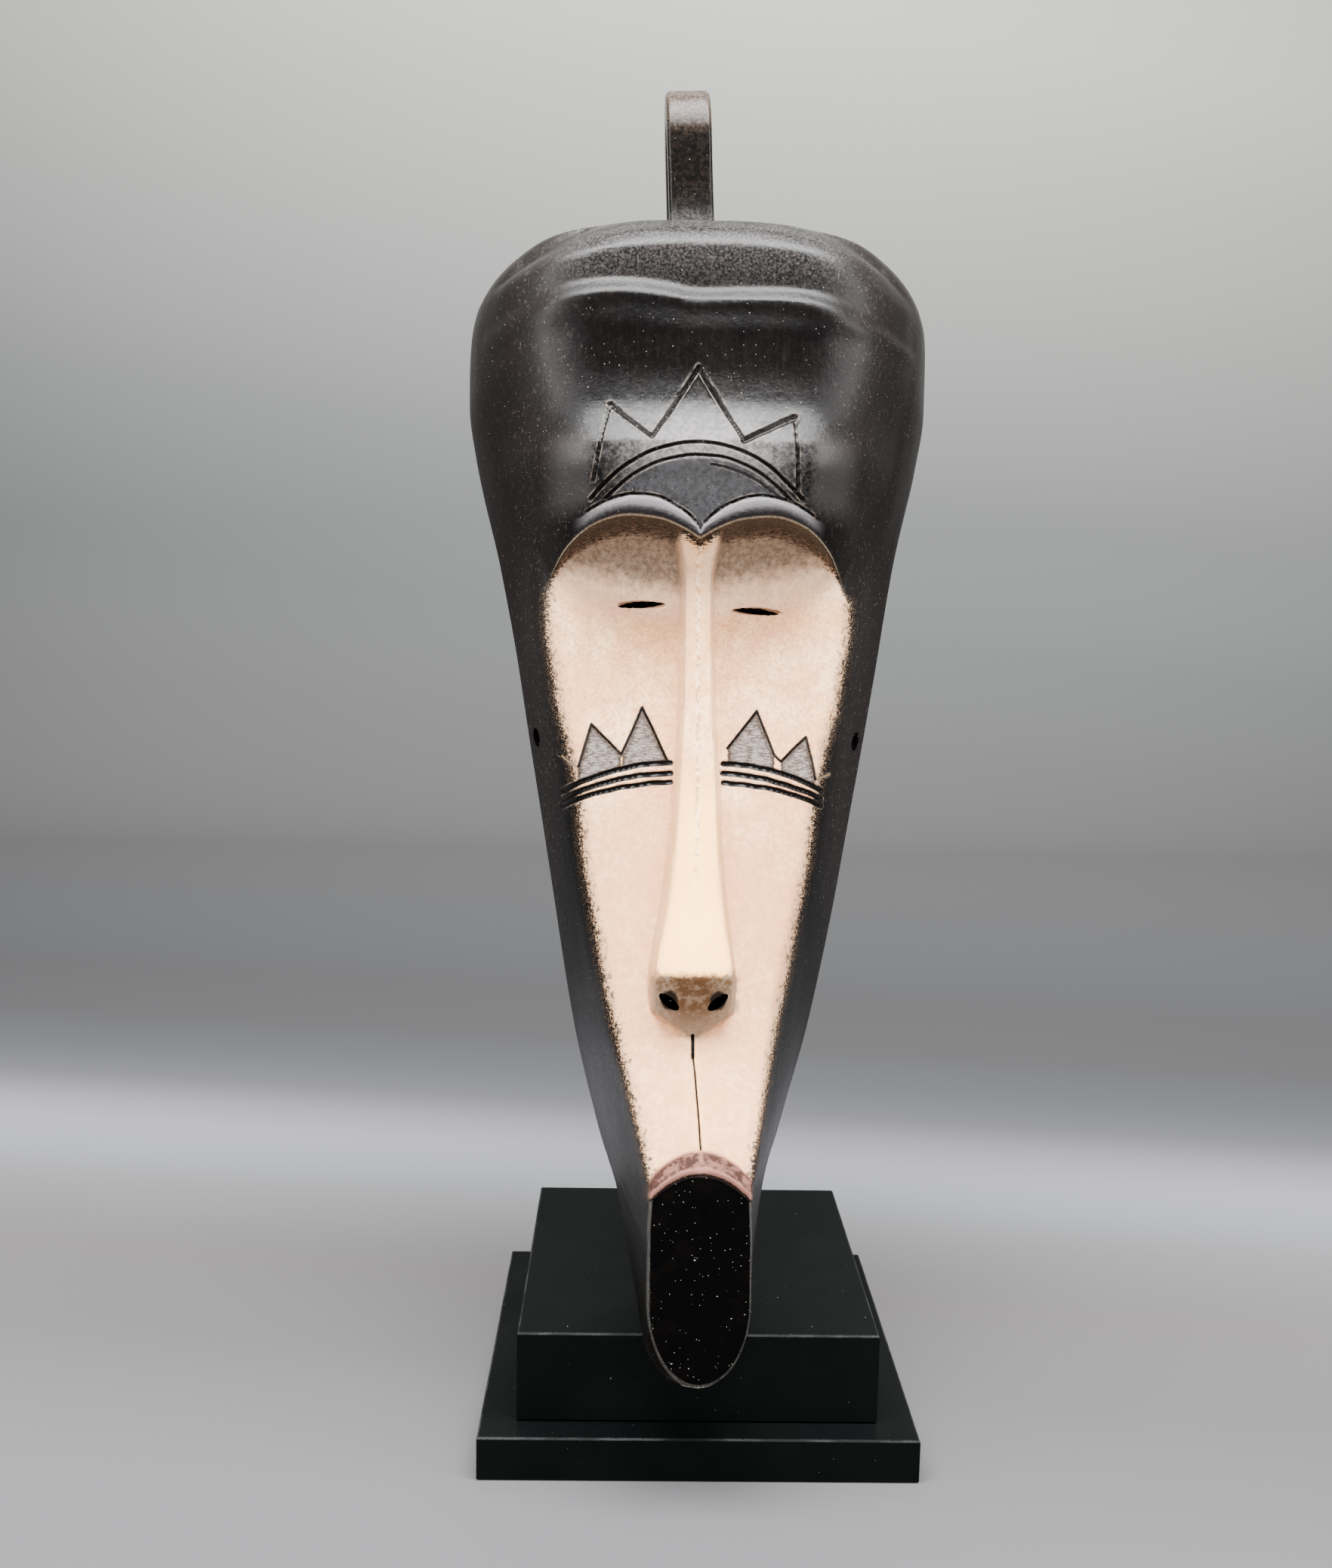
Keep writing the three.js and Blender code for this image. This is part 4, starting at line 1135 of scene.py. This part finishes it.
def stand_lacquer(name, node):
    """Black satin lacquer on a wooden board, rubbed grey along its top edges and a little dusty."""
    made, put = material(name)
    low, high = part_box(node)
    place = put("mapping", put("place"), (low + high) / 2, (0, 0, 0), (MM, MM, MM))
    *level, up = put("split", place)
    half = (high - low) / 2 / MM
    from_side = put("min", *(put("-", reach, put("abs", axis)) for reach, axis in zip(half, level)))
    from_edge = put("max", from_side, put("-", half[2], up))
    cloud = put("noise", place, 0.03, 4, 0.55)
    fine = put("noise", place, 1.4, 4, 0.6)
    rubbed = put("noise", put("stretch", place, (0.05, 0.05, 0.3)), 1.0, 3, 0.55)
    worn = put("+", from_edge, put("*", put("-", fine, 0.5), 1.2))
    worn = put("*", put("ramp", worn, 1.0, 0.3), put("ramp", rubbed, 0.4, 0.6, 0.15, 0.7))
    dust = put("max", specks(put, place, 0.16, 0.05, 0.8), specks(put, place, 0.5, 0.08, 0.92))
    colour = layered(
        put,
        put("blend", put("ramp", cloud, 0.3, 0.7), "#040505", "#060707"),
        (worn, "#2f3031"),
        (put("*", dust, 0.35), "#9a9894"),
    )
    rough = put("+", put("ramp", fine, 0.3, 0.7, 0.32, 0.42), put("*", worn, 0.2))
    return finish(made, put, colour, rough, 0.025, put("bump", fine, 0.35, 0.05 * MM))


def blackened_steel():
    """Mild steel rod with a waxed black oxide: dark, half glossy, drawn along its length."""
    made, put = material("blackened_steel")
    drawn_marks = put("noise", put("stretch", put("place"), (1000, 1000, 30)), 1.0, 4, 0.55)
    colour = put("blend", put("ramp", drawn_marks, 0.3, 0.7), "#1b1b1d", "#2c2d2f")
    rough = put("ramp", drawn_marks, 0.3, 0.7, 0.35, 0.5)
    return finish(made, put, colour, rough, 0.5, put("bump", drawn_marks, 0.3, 0.05 * MM), Metallic=1.0)


# Painted light and shade on the paper, by the way back along the floor and up the sweep, in m:
# a lighter band close behind the object, darker beyond and paler upward.
PAPER_FROM = -1.0
PAPER_REACH = 5.0
PAPER_SLOPE = 0.14  # the bands of shade run a little aslant
PAPER_PAINTED_LIGHT = (
    (-1.0, "#4b4a4c"), (-0.13, "#484749"), (0.0, "#424141"), (0.1, "#464444"), (0.18, "#4f4f50"),
    (0.24, "#5a5b5e"), (0.28, "#5f5f63"), (0.32, "#57565a"), (0.38, "#3d3d40"), (0.45, "#323334"),
    (0.55, "#2d2d2e"), (0.7, "#2e2e2f"), (0.9, "#343536"), (1.2, "#3d3d3e"), (1.6, "#464647"),
    (2.0, "#4c4c4d"), (2.3, "#535454"), (2.6, "#626463"), (2.9, "#777876"), (3.2, "#8a8b86"),
    (3.4, "#999a96"), (4.0, "#a5a5a2"),
)


def sweep_paper():
    """Matt paper with painted light and shade: lighter close behind the object, mid grey beyond, paler
    upward.
    """
    made, put = material("paper_with_painted_light")
    x, y, z = put("split", put("place"))
    away = put("+", put("+", y, z), put("*", x, PAPER_SLOPE))
    tones = put("tones", put("/", put("+", away, -PAPER_FROM), PAPER_REACH))
    stops = tones.node.color_ramp.elements
    for i, (at, shade) in enumerate(PAPER_PAINTED_LIGHT):
        share = (at - PAPER_FROM) / PAPER_REACH
        stop = stops[i] if i < 2 else stops.new(share)
        stop.position = share
        stop.color = linear(shade)
    return finish(made, put, tones, 0.9, 0.2)


def dress_mask(skin):
    """Puts the mask in place, holds it within the solid's box and shades it."""
    mesh = skin.data
    mesh.transform(TO_WORLD)
    mesh.transform(Matrix.Scale(MM, 4))
    low, high = (np.array(corner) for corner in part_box("mask"))
    co = np.empty((len(mesh.vertices), 3))
    mesh.vertices.foreach_get("co", co.ravel())
    mesh.vertices.foreach_set("co", np.clip(co, low + 1e-6, high - 1e-6).ravel())
    mesh.update()
    select_only(skin)
    bpy.ops.object.shade_smooth_by_angle(angle=SHARP_ANGLE)
    even = skin.modifiers.new("even_normals", "WEIGHTED_NORMAL")
    even.keep_sharp = True
    bpy.ops.object.modifier_apply(modifier=even.name)
    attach(skin, "root")
    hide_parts("mask")


def dress_stand():
    finishes = {
        "stand_lower_board": stand_lacquer("black_lacquer_lower", "stand_lower_board"),
        "stand_upper_block": stand_lacquer("black_lacquer_upper", "stand_upper_block"),
        "support_rod": blackened_steel(),
    }
    for name, surface in finishes.items():
        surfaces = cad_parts[name].data.materials
        surfaces.clear()
        surfaces.append(surface)


def studio_floor():
    """A sheet of grey paper swept up behind the object."""
    turns = np.linspace(0, math.pi / 2, 25)
    start = PAPER_BACK - PAPER_BEND
    bend = [(start + PAPER_BEND * math.sin(turn), PAPER_BEND * (1 - math.cos(turn))) for turn in turns]
    line = [(PAPER_BACK - PAPER_SIDE, 0), *bend, (PAPER_BACK, PAPER_RISE)]
    verts = [(x, y, z) for y, z in line for x in (-PAPER_SIDE / 2, PAPER_SIDE / 2)]
    faces = [(i, i + 1, i + 3, i + 2) for i in range(0, len(verts) - 2, 2)]
    floor = new_object("floor", verts, faces)
    floor.data.shade_smooth()
    floor.data.materials.append(sweep_paper())


def soft_light(name, size, place, target, power):
    bpy.ops.object.light_add(type="AREA", location=place)
    lamp = bpy.context.view_layer.objects.active
    lamp.name = name
    lamp.data.shape = "RECTANGLE"
    lamp.data.size, lamp.data.size_y = size
    lamp.data.energy = power
    aim = (Vector(target) - Vector(place)).to_track_quat("-Z", "Y")
    lamp.rotation_euler = aim.to_euler()
    return lamp


def studio_light():
    world = bpy.data.worlds.new("studio")
    world.use_nodes = True
    back = world.node_tree.nodes["Background"]
    back.inputs["Color"].default_value = linear("#dfe2e6")
    back.inputs["Strength"].default_value = 0.07
    bpy.context.scene.world = world
    for name, settings in LIGHTS.items():
        lamp = soft_light(name, *settings)
        # The rear light only fills the hollow: its mirror image would show on the crown from the front.
        lamp.visible_glossy = name != "rear"


def photo_camera():
    """The photo's view, from the height of the brow and looking slightly down."""
    turns = ((CAMERA_YAW, "Z"), (math.pi / 2 - CAMERA_PITCH, "X"), (CAMERA_ROLL, "Z"))
    bpy.ops.object.camera_add()
    camera = bpy.context.view_layer.objects.active
    camera.name = "photo_camera"
    camera.matrix_world = placed(CAMERA_PLACE, *turns)
    camera.data.sensor_width = 36
    camera.data.lens = CAMERA_LENS
    camera.data.clip_start = 0.01
    bpy.context.scene.camera = camera


dress_mask(shown_mask())
dress_stand()
studio_floor()
studio_light()
photo_camera()
